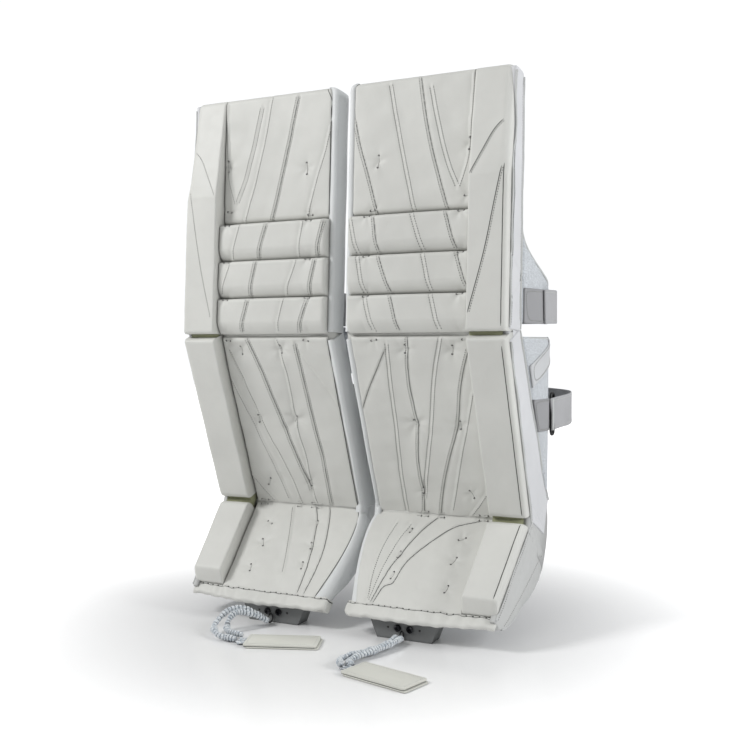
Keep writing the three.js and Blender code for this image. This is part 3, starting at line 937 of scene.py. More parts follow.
def make_shin_roll():
    low, high = extent(shin, "shin_outer_roll_left")
    proud = high[2]
    start = low[1] + proud * 0.62

    def height(u, v):
        return proud - 5.0 * np.clip((start + 8 - v) / 12.0, 0, 1) + 0 * u
    sheet = Sheet(shin, straight(ROLL_START, ROLL_OUT), start, high[1] + 8.0, height, FACE_BACK,
                  rounds=(3.0, 7.0, 3, 5), waves=0.4, seed=41, step=2.8)
    place_panel(sheet, "shin_outer_roll", "shin", "roll_leather", ROLL, "shin_outer_roll")
    out = sewing()
    corner_line(sheet, out, high[1] - 4, start + 6)
    place_sewing(out, "shin_outer_roll", "shin", "roll_leather")
    filler = Sheet(shin, straight(ROLL_START + 2, ROLL_END - 2), low[1] + 1, start + 3, level(15.0),
                   FACE_BACK, rounds=(2, 2, 2, 2), waves=0.3)
    place_panel(filler, "shin_roll_foam", "shin", "foam_core", FOAM)


# ---------------------------------------------------------------- boot

BOOT_SEAMS = [
    ([(0.21, 160), (0.16, 110), (0.12, 60), (0.10, 8)], 1, False, True, False),
    ([(0.33, 160), (0.27, 120), (0.19, 66), (0.115, 8)], 1, False, True, False),
    ([(0.535, 176), (0.50, 166), (0.45, 148), (0.40, 126), (0.27, 70), (0.145, 6)], -1, True, False, False),
    ([(0.90, 176), (0.72, 160), (0.56, 128), (0.40, 84), (0.345, 54), (0.325, 44), (0.25, 36), (0.165, 6)],
     -1, True, False, False),
]
BOOT_SEAMS_RIGHT = [
    ([(0.62, 174), (0.56, 120), (0.50, 76), (0.44, 40)], 1, False, True, False),
    ([(0.41, 178), (0.37, 150), (0.31, 96), (0.245, 44), (0.20, 6)], 1, True, False, False),
    ([(0.28, 178), (0.27, 168), (0.245, 140), (0.20, 96), (0.16, 44), (0.13, 6)], 1, True, False, False),
]
BOOT_TACKS = [(0.36, 146, 8, 15), (0.325, 98, 12, 12), (0.31, 58, 13, 8), (0.80, 138, 12, 62),
              (0.79, 96, 15, 25), (0.80, 44, 13, 14)]


def make_boot_face():
    dimples = [(at, along, 2.0, 6.5) for at, along, _, _ in BOOT_TACKS]
    for side, seams in (("left", BOOT_SEAMS), ("right", BOOT_SEAMS_RIGHT)):
        sheet = Sheet(boot, bowed(FACE_START, 17.0, FACE_END), 1.0, BOOT_TOP, level(0.6), FACE_BACK,
                      rounds=(3.5, 2, 1.5, 2), seams=seams, tacks=dimples, seed=51, waves=0.8)
        keep(sheet.solid().build("boot_face_left", [FACE]), side, "boot", "face_leather", "boot_face")
        sew_face(sheet, "boot_face", "boot", seams, BOOT_TACKS, only=side)


def strip_ring(start, end, front, back):
    """A closed ring of (u, w) pairs round a rectangle."""
    return [(start, front), (end, front), (end, back), (start, back)]


def make_ankle_crease():
    """The leather runs on from the shin's face to the boot's, laced down in the crease."""
    ring = strip_ring(9, PAD_WIDTH - 6, -1.2, -16)
    bridge_block("ankle_crease", ("shin", shin, 3.0, ring), ("boot", boot, BOOT_TOP - 3.0, ring),
                 FACE)
    heel, toe = strip_ring(1.0, 13, -9, -92), strip_ring(1.0, 13, -9, -64)
    bridge_block("ankle_gusset_inner", ("shin", shin, 20.0, heel), ("boot", boot, BOOT_TOP - 20.0, toe),
                 EDGE, swell=0.15)
    for name, shape, v, sign in (("shin", shin, 5.0, 1), ("boot", boot, BOOT_TOP - 5.0, -1)):
        out = sewing()
        for share in (0.36, 0.42, 0.56, 0.86, 0.93):
            u = FACE_START + share * (FACE_END - FACE_START)
            path = np.array([(u - 4, v, 0.7), (u, v - sign, 1.2), (u + 4, v, 0.7)])
            points = shape.world(spline(path, 1.0))
            normals = np.tile(shape.axes[2], (len(points), 1))
            out["thread"].add(*sweep(points, normals, circle(0.9 * MM, 6)))
            add_hole(out["hole"], points[-1] + shape.axes[2] * 0.3 * MM, shape.axes[2], 1.5)
        place_sewing(out, "ankle_lacing_" + name, name, "face_leather")


def make_boot_binding():
    """The soft hem over the boot's lower edge and round its inner corner, laced with long stitches."""
    low, high, corner, turn = -20.0, 5.0, 22.0, 15.0

    def height(u, v):
        up = np.clip((v - low) / (high - low), 0, 1)
        gathers = 0.9 * np.sin(u * 2 * math.pi / 27 + 1.8 * np.sin(u / 31)) * np.sin(math.pi * up)
        return 1.3 * np.sin(math.pi * up) ** 0.6 + gathers + 0.5 * np.sin(u / 3.1 + np.sin(u / 17)) * up

    def hang(points):
        """The lower edge droops and rises unevenly, and the inner end wraps round the corner."""
        points = np.array(points, float)
        u, v, w = points.T.copy()
        share, up = np.clip(u / PAD_WIDTH, 0, 1), np.clip((v - low) / (high - low), 0, 1)
        wave = 1.2 * np.abs(np.sin(math.pi * u / 23)) + 0.6 * np.sin(u / 5.3 + 1)
        tatty = 1.1 * np.sin(u / 4.7) * np.sin(u / 13.0 + 1) + 1.3 * np.sin(u / 29.0)
        v = v + (1 - up) * (8.0 * share ** 3 - 1.0 + tatty) + up * wave
        past = np.clip(corner - u, 0, None)
        angle = np.minimum(past / turn, 1.45)
        straight_on = np.clip(past - 1.45 * turn, 0, None)
        u = np.where(past > 0, corner - (turn + w) * np.sin(angle), u)
        w = np.where(past > 0, (turn + w) * np.cos(angle) - turn - straight_on, w)
        return np.stack([u, v + 0.35 * past * (1 - 0.4 * up), w], axis=1)
    sheet = Sheet(boot, tapered(-34.0, PAD_WIDTH - 1), low, high, height, -5.0, rounds=(4, 4, 4, 2),
                  step=1.8, waves=1.1, seed=62, warp=hang)
    place_panel(sheet, "boot_binding", "boot", "face_leather", FACE)
    out = sewing()
    path = [(a, high - 4.0) for a in np.linspace(0.01, 0.99, 12)]
    dark_line(sheet, out, path, width=1.15)
    stitches(sheet, out, path, pitch=10.4, length=7.6, width=0.95, lift=0.5, hole=1.0)
    place_sewing(out, "boot_binding", "boot", "face_leather")


def make_boot_roll():
    _, top, proud = extent(boot, "boot_outer_roll_left")[1]
    start, end = 5.0, top - proud * 0.62

    def height(u, v):
        return np.interp(v, [start, 19, 23, end - 9, end], [3.5, proud - 1, proud, proud, proud - 6]) + 0 * u
    sheet = Sheet(boot, tapered(ROLL_START, ROLL_OUT), start, end, height, FACE_BACK, rounds=(3, 8, 1, 4),
                  waves=0.4, seed=71, step=2.4)
    place_panel(sheet, "boot_outer_roll", "boot", "roll_leather", ROLL, "boot_outer_roll")
    out = sewing()
    corner_line(sheet, out, end - 5, 22)
    place_sewing(out, "boot_outer_roll", "boot", "roll_leather")
    ring = strip_ring(ROLL_START + 3, ROLL_END - 1, 15, -10)
    shin_foot = extent(shin, "shin_outer_roll_left")[0][1] + 10
    bridge_block("ankle_foam", ("shin", shin, shin_foot, ring), ("boot", boot, end - 2, ring),
                 FOAM)


def make_knee_fold():
    """The soft filling in the break between the thigh and the shin."""
    ring = strip_ring(ROLL_START + 2, ROLL_END - 1, 13, -10)
    bridge_block("knee_foam", ("thigh", thigh, 9.0, ring), ("shin", shin, SHIN_TOP - 12.0, ring),
                 FOAM)
    ring = strip_ring(PAD_WIDTH - 13, PAD_WIDTH - 1.6, 9, CORE_BACK + 4)
    bridge_block("knee_wall_fold", ("thigh", thigh, 14.0, ring), ("shin", shin, SHIN_TOP - 18.0, ring),
                 WALL)
    ring = strip_ring(3, PAD_WIDTH - 3, -4, CORE_BACK + 3)
    bridge_block("knee_fold", ("thigh", thigh, 12.0, ring), ("shin", shin, SHIN_TOP - 16.0, ring),
                 FACE)


# ---------------------------------------------------------------- cores, inner edges and side walls

def make_core(name, shape, node, body, low, high, edges):
    """The padded body behind a face, covered in backing mesh on its back."""
    flipped = Frame(shape.origin, shape.axes[0], shape.axes[1], -shape.axes[2])
    sheet = Sheet(flipped, edges, low, high, level(-CORE_BACK), 12.6, rounds=(7, 3, 3, 3), waves=0.7,
                  step=5.0, seed=81)
    place_panel(sheet, name, body, "foam_core", BACKING, node)


def loft(builder, shape, rows, ring, drop=lambda v, w: 0.0):
    """A closed solid through the rings ring(v), each a list of (u, w) pairs, at every v in rows. drop(v, w)
    is how far a point is lowered."""
    points = [(u, v - drop(v, w), w) for v in rows for u, w in ring(v)]
    builder.add(shape.world(points), tube_faces(len(rows), len(points) // len(rows)))


def nosed_ring(depth, join):
    """The inner edge in (u, w): from beside the face, round the front corner and down to its back."""
    corner = [(5.5 - 5.5 * math.sin(t), -5.5 + 5.5 * math.cos(t)) for t in np.linspace(0, math.pi / 2, 8)]
    slack = np.linspace(0.4, math.pi - 0.4, 6)
    wall = [(-0.6 * math.sin(t), -7 + (depth + 11) * t / math.pi) for t in slack]
    heel = [(4 - 4 * math.cos(t), depth + 4 - 4 * math.sin(t)) for t in np.linspace(0, math.pi / 2, 4)]
    return np.array([(join + 1.0, -1.4)] + corner + wall + heel + [(join + 1.0, depth)])


def make_inner_edge(name, shape, body, low, high, round_top=0.0, flare=0.0):
    """The rounded, sewn inner edge of a section. It grows flare mm deeper towards its foot."""
    profile = nosed_ring(CORE_BACK + 1, FACE_START)
    depth = np.clip(-profile[:, 1] / (-CORE_BACK), 0, 1)
    rows = lines(low, high, 6.0)

    def ring(v):
        cut = shoulder(np.array([high - v]), round_top)[0] if round_top else 0.0
        moved = profile + [0.35 * math.sin(v / 23.0), 0]
        moved[:, 1] -= flare * depth * float(np.clip(1 - v / 230.0, 0, 1)) ** 1.5
        moved[:, 0] = np.minimum(moved[:, 0] + cut, FACE_START + 1.0 + 0.6 * cut)
        return moved

    def drop(v, w):
        return 0.34 * max(0.0, -w - 14) * max(0.0, 1 - v / 90.0) if flare else 0.0
    builder = Builder()
    loft(builder, shape, rows, ring, drop)
    finish(builder, name, EDGE, body, "wall_leather")


BOOT_WALL_BACK = [(0, -22), (20, -34), (60, -50), (120, -62), (160, -60), (181, -44)]


def make_boot_inner_wall():
    """The boot's inner wall, which bulges out beside the foot."""
    face_edge = bowed(FACE_START, 17.0, FACE_END)

    def ring(v):
        start = face_edge(np.array([v]))[0][0]
        t = float(to_toe(v))
        wall = TOE_IN * min(t, 1) ** 1.5 - float(bulge(v))
        back = float(np.interp(v, *zip(*BOOT_WALL_BACK)))
        front = [(start + 1.2, -1.2)]
        for s in np.linspace(0, math.pi / 2, 10):
            front.append((wall + (start - wall) * (1 - math.sin(s)), -1.0 - 17.0 * (1 - math.cos(s))))
        rest = [(wall - 0.5, -18 + (back + 18) * 0.35), (wall + 0.5, -18 + (back + 18) * 0.7),
                (wall + 3, back + 3), (wall + 7, back), (start + 14, back), (start + 14, -8)]
        return front + rest
    builder = Builder()
    loft(builder, boot, lines(-2.0, BOOT_TOP - 0.5, 4.0), ring)
    finish(builder, "boot_inner_wall", EDGE, "boot", "wall_leather", "boot_inner_wall")


def make_side_wall(body, shape, edges, low, high, material, height=level(0.0), creases=(), warp=None,
                   rounds=(3, 3.5, 3, 3), trimmed=(2, 3), inside=-9.0):
    """An outer side wall: a sewn panel with creases, piping beside the face and a bound back edge."""
    name = body + "_side_wall"
    folds = [(points, lip, False) for points, lip in creases]
    sheet = Sheet(beside(shape, name + "_left"), edges, low, high, height, inside, rounds=rounds, waves=0.6,
                  seed=91, step=2.6, seams=folds, warp=warp)
    place_panel(sheet, name, body, "wall_leather", material, name)
    trim = Builder()
    for a, radius, shift in ((0.0, 1.7, 1.4), (1.0, 1.9, -1.6)):
        path = [(a, v) for v in np.linspace(high - trimmed[0], low + trimmed[1], 14)]
        laid = sheet.lay(path, margin=0.2, shift=shift)
        if laid is not None:
            trim.add(*sweep(laid[0] + laid[1] * 0.3 * MM, laid[1], circle(radius * MM, 8)))
    finish(trim, name + "_trim", PIPING, body, "wall_leather")
    out = sewing()
    dark_line(sheet, out, [(0.0, high - 6), (0.0, low + 6)], shift=3.4, width=0.8, margin=0.2)
    stitches(sheet, out, [(0.0, high - 6), (0.0, low + 6)], shift=6.0)
    stitches(sheet, out, [(1.0, high - 8), (1.0, low + 8)], shift=-5.5)
    place_sewing(out, name, body, "wall_leather")


def make_cores():
    low, high = extent(thigh, "thigh_core_left")
    edges = rounded_top(4, ROLL_END, high[1], inner=8)
    make_core("thigh_core", thigh, "thigh_core", "thigh", low[1] + 7, high[1] - 0.5, edges)
    make_inner_edge("thigh_inner_edge", thigh, "thigh", 6.0, THIGH_TOP - 0.5, round_top=9)
    top = extent(shin, "shin_core_left")[1][1]
    make_core("shin_core", shin, "shin_core", "shin", 1.0, top - 7, straight(4, ROLL_END))
    make_inner_edge("shin_inner_edge", shin, "shin", -3.0, top - 4, flare=62.0)
    top = extent(boot, "boot_core_left")[1][1]
    make_core("boot_core", boot, "boot_core", "boot", 16, top - 1, tapered(12, ROLL_END - 2))


WALL_FRONT = -8.0  # the side walls reach forward beside the raised rolls
HEEL_DEEPER = 11.0  # the padding at the heel fills out past the hard shape behind it
HEEL_BACK = HEEL_DEEPER - extent(shin, "shin_side_wall_left")[0][2]


def make_thigh_wall():
    """Its front edge follows the roll, and its top corners are round."""
    low, high = extent(thigh, "thigh_side_wall_left")

    def edges(v):
        front = np.clip(WALL_FRONT + 24.0 - thigh_roll_height(v), WALL_FRONT, 1.0)
        below_top = np.clip(high[1] - v, 0, None)
        return front + shoulder(below_top, 4.0), -CORE_BACK - shoulder(below_top, 16.0)
    zigzag = [([(0.05, 118), (0.5, 106), (0.95, 92)], 1), ([(0.95, 84), (0.5, 66), (0.1, 56)], 1),
              ([(0.1, 48), (0.55, 36), (0.9, 22)], -1)]
    make_side_wall("thigh", thigh, edges, low[1] + 3, high[1], WALL, creases=zigzag, trimmed=(8, 3))


def make_shin_wall():
    heel_u, heel_v = 46.0, extent(shin, "shin_side_wall_left")[0][1]
    bottom, top = -2.0, SHIN_TOP - 5

    def edges(v):
        return np.full(np.shape(v), WALL_FRONT), np.interp(v, [bottom, top], [HEEL_BACK, -CORE_BACK])

    def skewed(points):
        """Draws the wall's lower edge down to the heel."""
        points = np.array(points, float)
        drop = np.interp(points[:, 0], [0, heel_u, HEEL_BACK], [bottom, heel_v + 2, -8])
        points[:, 1] = drop + (points[:, 1] - bottom) * (top - drop) / (top - bottom)
        return points
    folds = [([(0.2, 30), (0.5, 12), (0.8, 3)], 1), ([(0.1, 8), (0.35, 14), (0.6, 26)], -1)]
    make_side_wall("shin", shin, edges, bottom, top, WALL, creases=folds, warp=skewed)


def make_outer_gusset():
    """Fills the notch between the shin's and the boot's side walls."""
    inside, outside = PAD_WIDTH - 12.0, PAD_WIDTH - 1.2
    heel, foot = strip_ring(inside, outside, 9, -HEEL_BACK + 3), strip_ring(inside, outside, 6, -100)
    bridge_block("ankle_gusset_outer", ("shin", shin, 14.0, heel), ("boot", boot, BOOT_TOP - 22.0, foot),
                 BOOT_WALL, rows=13, swell=0.24)


# The boot side wall's back edge: (height, depth).
FOOT_BACK = [(-5, 20), (10, 38), (40, 60), (70, 76), (96, 90), (118, 99), (140, 104), (160, 101), (181, 76)]


def make_boot_wall():
    def edges(v):
        v = np.asarray(v, float)
        return np.full(v.shape, -5.0), np.interp(v, *zip(*FOOT_BACK))

    def height(u, v):
        across, along = np.clip(u / 70.0, 0, 1), np.clip((v + 20) / 200, 0, 1)
        return -TOE_OUT * to_toe(v) + 3.5 * np.sin(math.pi * across) * np.sin(math.pi * along)
    pleats = [([(0.08, 176), (0.34, 150), (0.62, 122), (0.86, 104)], -1),
              ([(0.10, 178), (0.5, 168), (0.92, 150)], 1), ([(0.05, 170), (0.16, 130), (0.26, 84)], 1)]
    make_side_wall("boot", boot, edges, -5.0, BOOT_TOP - 1, BOOT_WALL, height=height, creases=pleats,
                   rounds=(2.5, 6, 2, 2), inside=-26.0)


# ---------------------------------------------------------------- leg padding

def mesh_copy(node, material, bevel=0.0):
    """A new piece with a CAD node's own shape, softened by a bevel."""
    mesh = NODES[node].data.copy()
    mesh.name = node
    mesh.materials.clear()
    mesh.materials.append(material)
    b = bmesh.new()
    b.from_mesh(mesh)
    bmesh.ops.remove_doubles(b, verts=b.verts, dist=1e-5)
    bmesh.ops.dissolve_limit(b, angle_limit=math.radians(1), verts=b.verts, edges=b.edges)
    if bevel:
        sharp = [e for e in b.edges if len(e.link_faces) == 2 and e.calc_face_angle(0) > math.radians(25)]
        bmesh.ops.bevel(b, geom=sharp, offset=bevel * MM, segments=3, profile=0.5, affect="EDGES",
                        clamp_overlap=True)
    bmesh.ops.recalc_face_normals(b, faces=b.faces)
    b.to_mesh(mesh)
    b.free()
    mesh.polygons.foreach_set("material_index", [0] * len(mesh.polygons))
    return link_smooth(node, mesh)


CLOTH_FRAMES = 20
CLOTH_PRESSURE = 4.0


def inflate(obj, voxel, cap):
    """Padded fabric: the solid is remeshed and swelled by a cloth simulation, by at most cap mm."""
    scene = bpy.context.scene
    remesh = obj.modifiers.new("remesh", "REMESH")
    remesh.mode, remesh.voxel_size = "VOXEL", voxel * MM
    apply_modifiers(obj)
    rest = points_of(obj.data)
    cloth = obj.modifiers.new("cloth", "CLOTH")
    cloth.settings.use_pressure = True
    cloth.settings.uniform_pressure_force = CLOTH_PRESSURE
    cloth.settings.effector_weights.gravity = 0
    cloth.settings.quality = 5
    cloth.point_cache.frame_start, cloth.point_cache.frame_end = 1, CLOTH_FRAMES
    for number in range(1, CLOTH_FRAMES + 1):
        scene.frame_set(number)
    apply_modifiers(obj)
    scene.frame_set(1)
    delta = points_of(obj.data) - rest
    size = np.linalg.norm(delta, axis=1)[:, None] + 1e-12
    obj.data.vertices.foreach_set("co", (rest + delta * np.minimum(1, cap * MM / size)).ravel())
    soften = obj.modifiers.new("soften", "SMOOTH")
    soften.factor, soften.iterations = 0.5, 4
    divide = obj.modifiers.new("divide", "SUBSURF")
    divide.levels = divide.render_levels = 1
    apply_modifiers(obj)
    obj.data.polygons.foreach_set("use_smooth", [True] * len(obj.data.polygons))
    return obj


def apply_modifiers(obj):
    """Bakes the modifiers into the mesh."""
    bpy.context.view_layer.update()
    evaluated = obj.evaluated_get(bpy.context.evaluated_depsgraph_get())
    baked = bpy.data.meshes.new_from_object(evaluated)
    obj.modifiers.clear()
    old = obj.data
    obj.data = baked
    bpy.data.meshes.remove(old)


def make_leg_parts():
    for name, cap in (("leg_channel", 4.0), ("knee_block", 6.0)):
        padding = inflate(mesh_copy(name + "_left", LINING), voxel=5.0, cap=cap)
        place(padding, "shin", "liner_mesh", name)


# ---------------------------------------------------------------- wings and straps

def back_line(shape, foot, head):
    """y in the pad frame, for a height z, along a wall's back edge. foot and head are (v, w) pairs."""
    ends = pad.local(shape.world([(0, *foot), (0, *head)]))
    return lambda z: np.interp(z, ends[:, 2], ends[:, 1])


THIGH_BACK = back_line(thigh, (0, CORE_BACK), (THIGH_TOP, CORE_BACK))
SHIN_BACK = back_line(shin, (-2.0, extent(shin, "shin_side_wall_left")[0][2]), (SHIN_TOP - 5, CORE_BACK))


def flap(builder, at, thickness, columns, rows):
    """A closed flap in the pad frame: thickness mm of it lies behind the surface at(u, v)."""
    v, u = np.meshgrid(np.linspace(0, 1, rows), np.linspace(0, 1, columns), indexing="ij")
    top = np.stack(np.broadcast_arrays(*at(u, v)), axis=-1)
    normal = np.cross(np.gradient(top, axis=1), np.gradient(top, axis=0))
    under = top - unit(normal) * thickness
    points = np.vstack([top.reshape(-1, 3), under.reshape(-1, 3)])
    builder.add(pad.world(points), slab_faces(rows, columns))


def rolled(at, path, lift=0.0, step=2.0):
    """World positions and outward normals along (u, v) pairs on the surface at."""
    fine = spline(path, 0.01)
    here, e = np.stack(at(fine[:, 0], fine[:, 1]), axis=1), 0.01
    across = np.stack(at(fine[:, 0] + e, fine[:, 1]), axis=1) - here
    above = np.stack(at(fine[:, 0], fine[:, 1] + e), axis=1) - here
    normal = unit(np.cross(across, above))
    both = spline(np.hstack([here + lift * normal, normal * 0.02]), step)
    return pad.world(both[:, :3]), unit(both[:, 3:])


def thread_row(out, points, normals, profile):
    """Separate stitches, each over two of every four steps."""
    for start in range(0, len(points) - 4, 4):
        out["thread"].add(*sweep(points[start:start + 3], normals[start:start + 3], profile))


def sew_on(out, at, path):
    """A row of stitches on the surface at."""
    points, normals = rolled(at, path, 0.3, 0.85)
    thread_row(out, points, normals, circle(0.42 * MM, 5, 0.7))
    for start in range(0, len(points) - 4, 4):
        add_hole(out["hole"], points[start + 3], normals[start], 0.6)


def bind(builder, at, path):
    """A rolled binding along an edge of the surface at."""
    points, normals = rolled(at, path, -2.0)
    builder.add(*sweep(points, normals, circle(2.2 * MM, 10, 1.25)))


KNEE_WING_BACK, CALF_WING_BACK = 196, 188  # y of the wings' free edges
CALF_WING_LOW, CALF_WING_HIGH = 216, 473


def wing_swelling(u, reach):
    """How far a wing stands out: it swells behind its root and turns in again at its free edge."""
    return reach * np.sin(math.pi * np.minimum(1, 0.8 * u)) - reach * (np.clip(u - 0.6, 0, 1) / 0.4) ** 2


def knee_wing_at(u, v):
    """The knee wing's outer surface: u from its root to its free edge, and v upwards."""
    low, high = 489 + 26 * u, 643 - 96 * np.clip(u, 0, 1) ** 0.5
    z = low + (high - low) * v
    y = THIGH_BACK(z) + 1 + (KNEE_WING_BACK - THIGH_BACK(z) - 1) * u
    return PAD_WIDTH + wing_swelling(u, 12) + 0 * z, y, z


def calf_wing_at(u, v):
    """The outer calf wing's surface, as for the knee wing."""
    high = CALF_WING_HIGH - 26 * np.clip((u - 0.62) / 0.38, 0, 1) ** 2.2
    z = CALF_WING_LOW + (high - CALF_WING_LOW) * v
    root = SHIN_BACK(z) + 1
    share = (CALF_WING_BACK - root) / (CALF_WING_BACK - SHIN_BACK(CALF_WING_HIGH))
    return PAD_WIDTH + share * wing_swelling(u, 14), root + (CALF_WING_BACK - root) * u, z


def on_surface(at, u0, u1, z0, z1, lift):
    """The part of a wing's surface between two u and two heights, moved out by lift."""
    def patch(u, v):
        uu, z = u0 + (u1 - u0) * u, z0 + (z1 - z0) * v
        low, high = at(uu, 0 * uu)[2], at(uu, 0 * uu + 1)[2]
        x, y, _ = at(uu, (z - low) / (high - low))
        return x + lift, y, z + 0 * uu
    return patch


def rounded_box(corner=0.16, inset=0.08, lean=0.0):
    """A closed path with rounded corners inside the unit square."""
    points = []
    for cx, cy, start in ((1, 1, 0), (0, 1, 90), (0, 0, 180), (1, 0, 270)):
        for turn in (0, 45, 90):
            t = math.radians(start + turn)
            x = inset + (cx * (1 - 2 * inset)) + (1 - 2 * cx) * corner + corner * math.cos(t)
            y = inset + (cy * (1 - 2 * inset)) + (1 - 2 * cy) * corner + corner * math.sin(t)
            points.append((x + lean * (y - 0.5), y))
    return points + [points[0]]


# The wings' bound edge: along the top, round the corner and down the free side.
BOUND_EDGE = [(u, 0.985) for u in (0.0, 0.15, 0.35, 0.6, 0.9)] + [(0.985, v) for v in (0.95, 0.6, 0.05)]


def make_wings():
    for name, at in (("knee_wing", knee_wing_at), ("calf_wing_outer", calf_wing_at)):
        builder = Builder()
        flap(builder, at, 7.0, 40, 30)
        wing = inflate(builder.build(name + "_left", [LINING]), voxel=3.0, cap=1.4)
        place(wing, name, "liner_mesh", name)
        edge = Builder()
        bind(edge, at, BOUND_EDGE)
        finish(edge, name + "_binding", PIPING, name, "liner_mesh")
    wing = inflate(mesh_copy("calf_wing_inner_left", LINING), voxel=3.0, cap=3.0)
    place(wing, "calf_wing_inner", "liner_mesh", "calf_wing_inner")


def sewn_patch(name, at, body, slot, material, path):
    """A stitched patch on a wing."""
    builder, out = Builder(), sewing()
    flap(builder, at, 3.0, 16, 16)
    finish(builder, name, material, body, slot)
    sew_on(out, at, path)
    place_sewing(out, name, body, slot)


def make_patches():
    knee = on_surface(knee_wing_at, 0.03, 0.60, *STRAP_Z["knee"], 3.4)
    sewn_patch("knee_strap_patch", knee, "knee_wing", "strap_web", PATCH, rounded_box(0.14, 0.09, -0.12))
    calf = on_surface(calf_wing_at, 0.02, 0.86, *STRAP_Z["calf"], 3.4)
    sewn_patch("calf_strap_root", calf, "calf_wing_outer", "strap_web", PATCH, rounded_box(0.10, 0.07))

    def slanted(u, v):
        """The tab that holds the wing's top corner."""
        uu, z = 0.05 + 0.87 * u, 392 + 34 * v + 46 * u
        share = (z - CALF_WING_LOW) / (CALF_WING_HIGH - CALF_WING_LOW)
        x, y, _ = calf_wing_at(uu, np.clip(share, 0, 1))
        return x + 3.6, y, z
    sewn_patch("calf_wing_tab", slanted, "calf_wing_outer", "liner_mesh", TRIM, rounded_box(0.16, 0.10))


STRAP_Z = {name: [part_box(name + "_strap_left")[k].z / MM for k in (0, 1)] for name in ("knee", "calf")}
KNEE_STRAP_PATH = [(296, 116), (300, 150), (294, 188), (266, 222), (208, 240), (140, 243), (74, 230),
                   (28, 194), (8, 140), (4, 90), (5, 52)]
CALF_STRAP_PATH = [(293.5, 168), (300, 186), (309, 216), (300, 250), (254, 272), (190, 282), (120, 280),
                   (50, 258), (10, 214), (-5, 170), (-5, 132)]
STRAP_T = 2.8


def band(name, path, low, high, body, rise=0.0):
    """A strap on a plan curve, with rounded and stitched edges. Its middle is rise mm above its ends."""
    curve = spline([(x, y, (low + high) / 2) for x, y in path], 3.0)
    share = np.linspace(0, 1, len(curve))
    curve[:, 2] += rise * np.sin(math.pi * np.clip(share / 0.9, 0, 1)) ** 0.8
    forward = np.gradient(curve, axis=0)
    normals = np.cross(forward, (0, 0, 1.0))
    normals = unit(normals * (-1 if normals[0][0] < 0 else 1))
    half, r = (high - low) / 2, STRAP_T / 2
    profile = []
    for middle, start in ((half - r, -math.pi / 2), (-half + r, math.pi / 2)):
        for angle in np.linspace(start, start + math.pi, 6):
            profile.append((middle + r * math.cos(angle), r * math.sin(angle)))
    builder = Builder()
    builder.add(*sweep(pad.world(curve), normals, np.array(profile) * MM))
    finish(builder, name, WEB, body, "strap_web", name)
    out = sewing()
    for side in (-1, 1):
        row = pad.world(curve + normals * (r + 0.1) + [0, 0, side * (half - 4.5)])
        fine = spline(row, 0.9 * MM)
        along = np.linspace(0, 1, len(fine))
        across = np.stack([np.interp(along, share, normals[:, k]) for k in range(3)], axis=1)
        thread_row(out, fine, across, circle(0.4 * MM, 5, 0.7))
    place_sewing(out, name, body, "strap_web")


def make_straps():
    band("knee_strap", KNEE_STRAP_PATH, *STRAP_Z["knee"], "knee_strap", rise=3.0)
    band("calf_strap", CALF_STRAP_PATH, *STRAP_Z["calf"], "calf_strap", rise=15.0)


def upright_bar(builder, path, radius):
    """A round bar on a path in the pad frame that stays in one upright plane."""
    builder.add(*sweep(pad.world(path), np.tile((1.0, 0, 0), (len(path), 1)), circle(radius * MM, 10)))


def make_calf_loop():
    """The calf strap's folded end, and the loop it passes through."""
    x, y = CALF_STRAP_PATH[0]
    fold, loop = Builder(), Builder()
    upright_bar(fold, spline([(x + 0.8, y + 1, z) for z in STRAP_Z["calf"]], 4.0), 2.1)
    finish(fold, "calf_strap_fold", PIPING, "calf_strap", "strap_web")
    low, high = (np.array(c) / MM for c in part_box("calf_strap_loop_left"))
    x, y, _ = pad.local([(low + high) / 2 * MM])[0]
    z0, z1, half = low[2] - 1, high[2] + 1, 7.5
    corner = [(-half, z0 + 4), (-half, z1 - 4), (-half * 0.6, z1), (half * 0.6, z1), (half, z1 - 4),
              (half, z0 + 4), (half * 0.6, z0), (-half * 0.6, z0), (-half, z0 + 4)]
    upright_bar(loop, spline([(x + 0.5, y + dy + 6.5, z) for dy, z in corner], 1.5), 2.3)
    finish(loop, "calf_strap_loop", BLACK_PLASTIC, "calf_loop", "black_plastic", "calf_strap_loop")


# ---------------------------------------------------------------- toe

BOLT_RADIUS = 5.6


def make_bridge():
    """The toe bridge with its two small holes, and the bolts' steel."""
    bridge = mesh_copy("toe_bridge_left", BRIDGE_PLASTIC, bevel=1.6)
    place(bridge, "boot", "bridge_plastic", "toe_bridge")
    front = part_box("toe_bridge_left")[0].y / MM
    bolts = [np.array(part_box(f"toe_bridge_bolt_{which}_left")[0]) / MM for which in ("inner", "outer")]
    middle = (bolts[0] + bolts[1]) / 2 + BOLT_RADIUS
    holes = Builder()
    for side in (-27, 27):
        spot = np.array((middle[0] + side, front - 0.1, middle[2]))
        add_hole(holes, spot * MM, np.array((0, -1.0, 0)), 1.9)
    finish(holes, "toe_bridge_holes", HOLE_SHADE, "boot", "bridge_plastic")
    for side in ("left", "right"):
        for which in ("inner", "outer"):
            mesh = NODES[f"toe_bridge_bolt_{which}_{side}"].data
            mesh.materials.clear()
            mesh.materials.append(BOLT_STEEL)


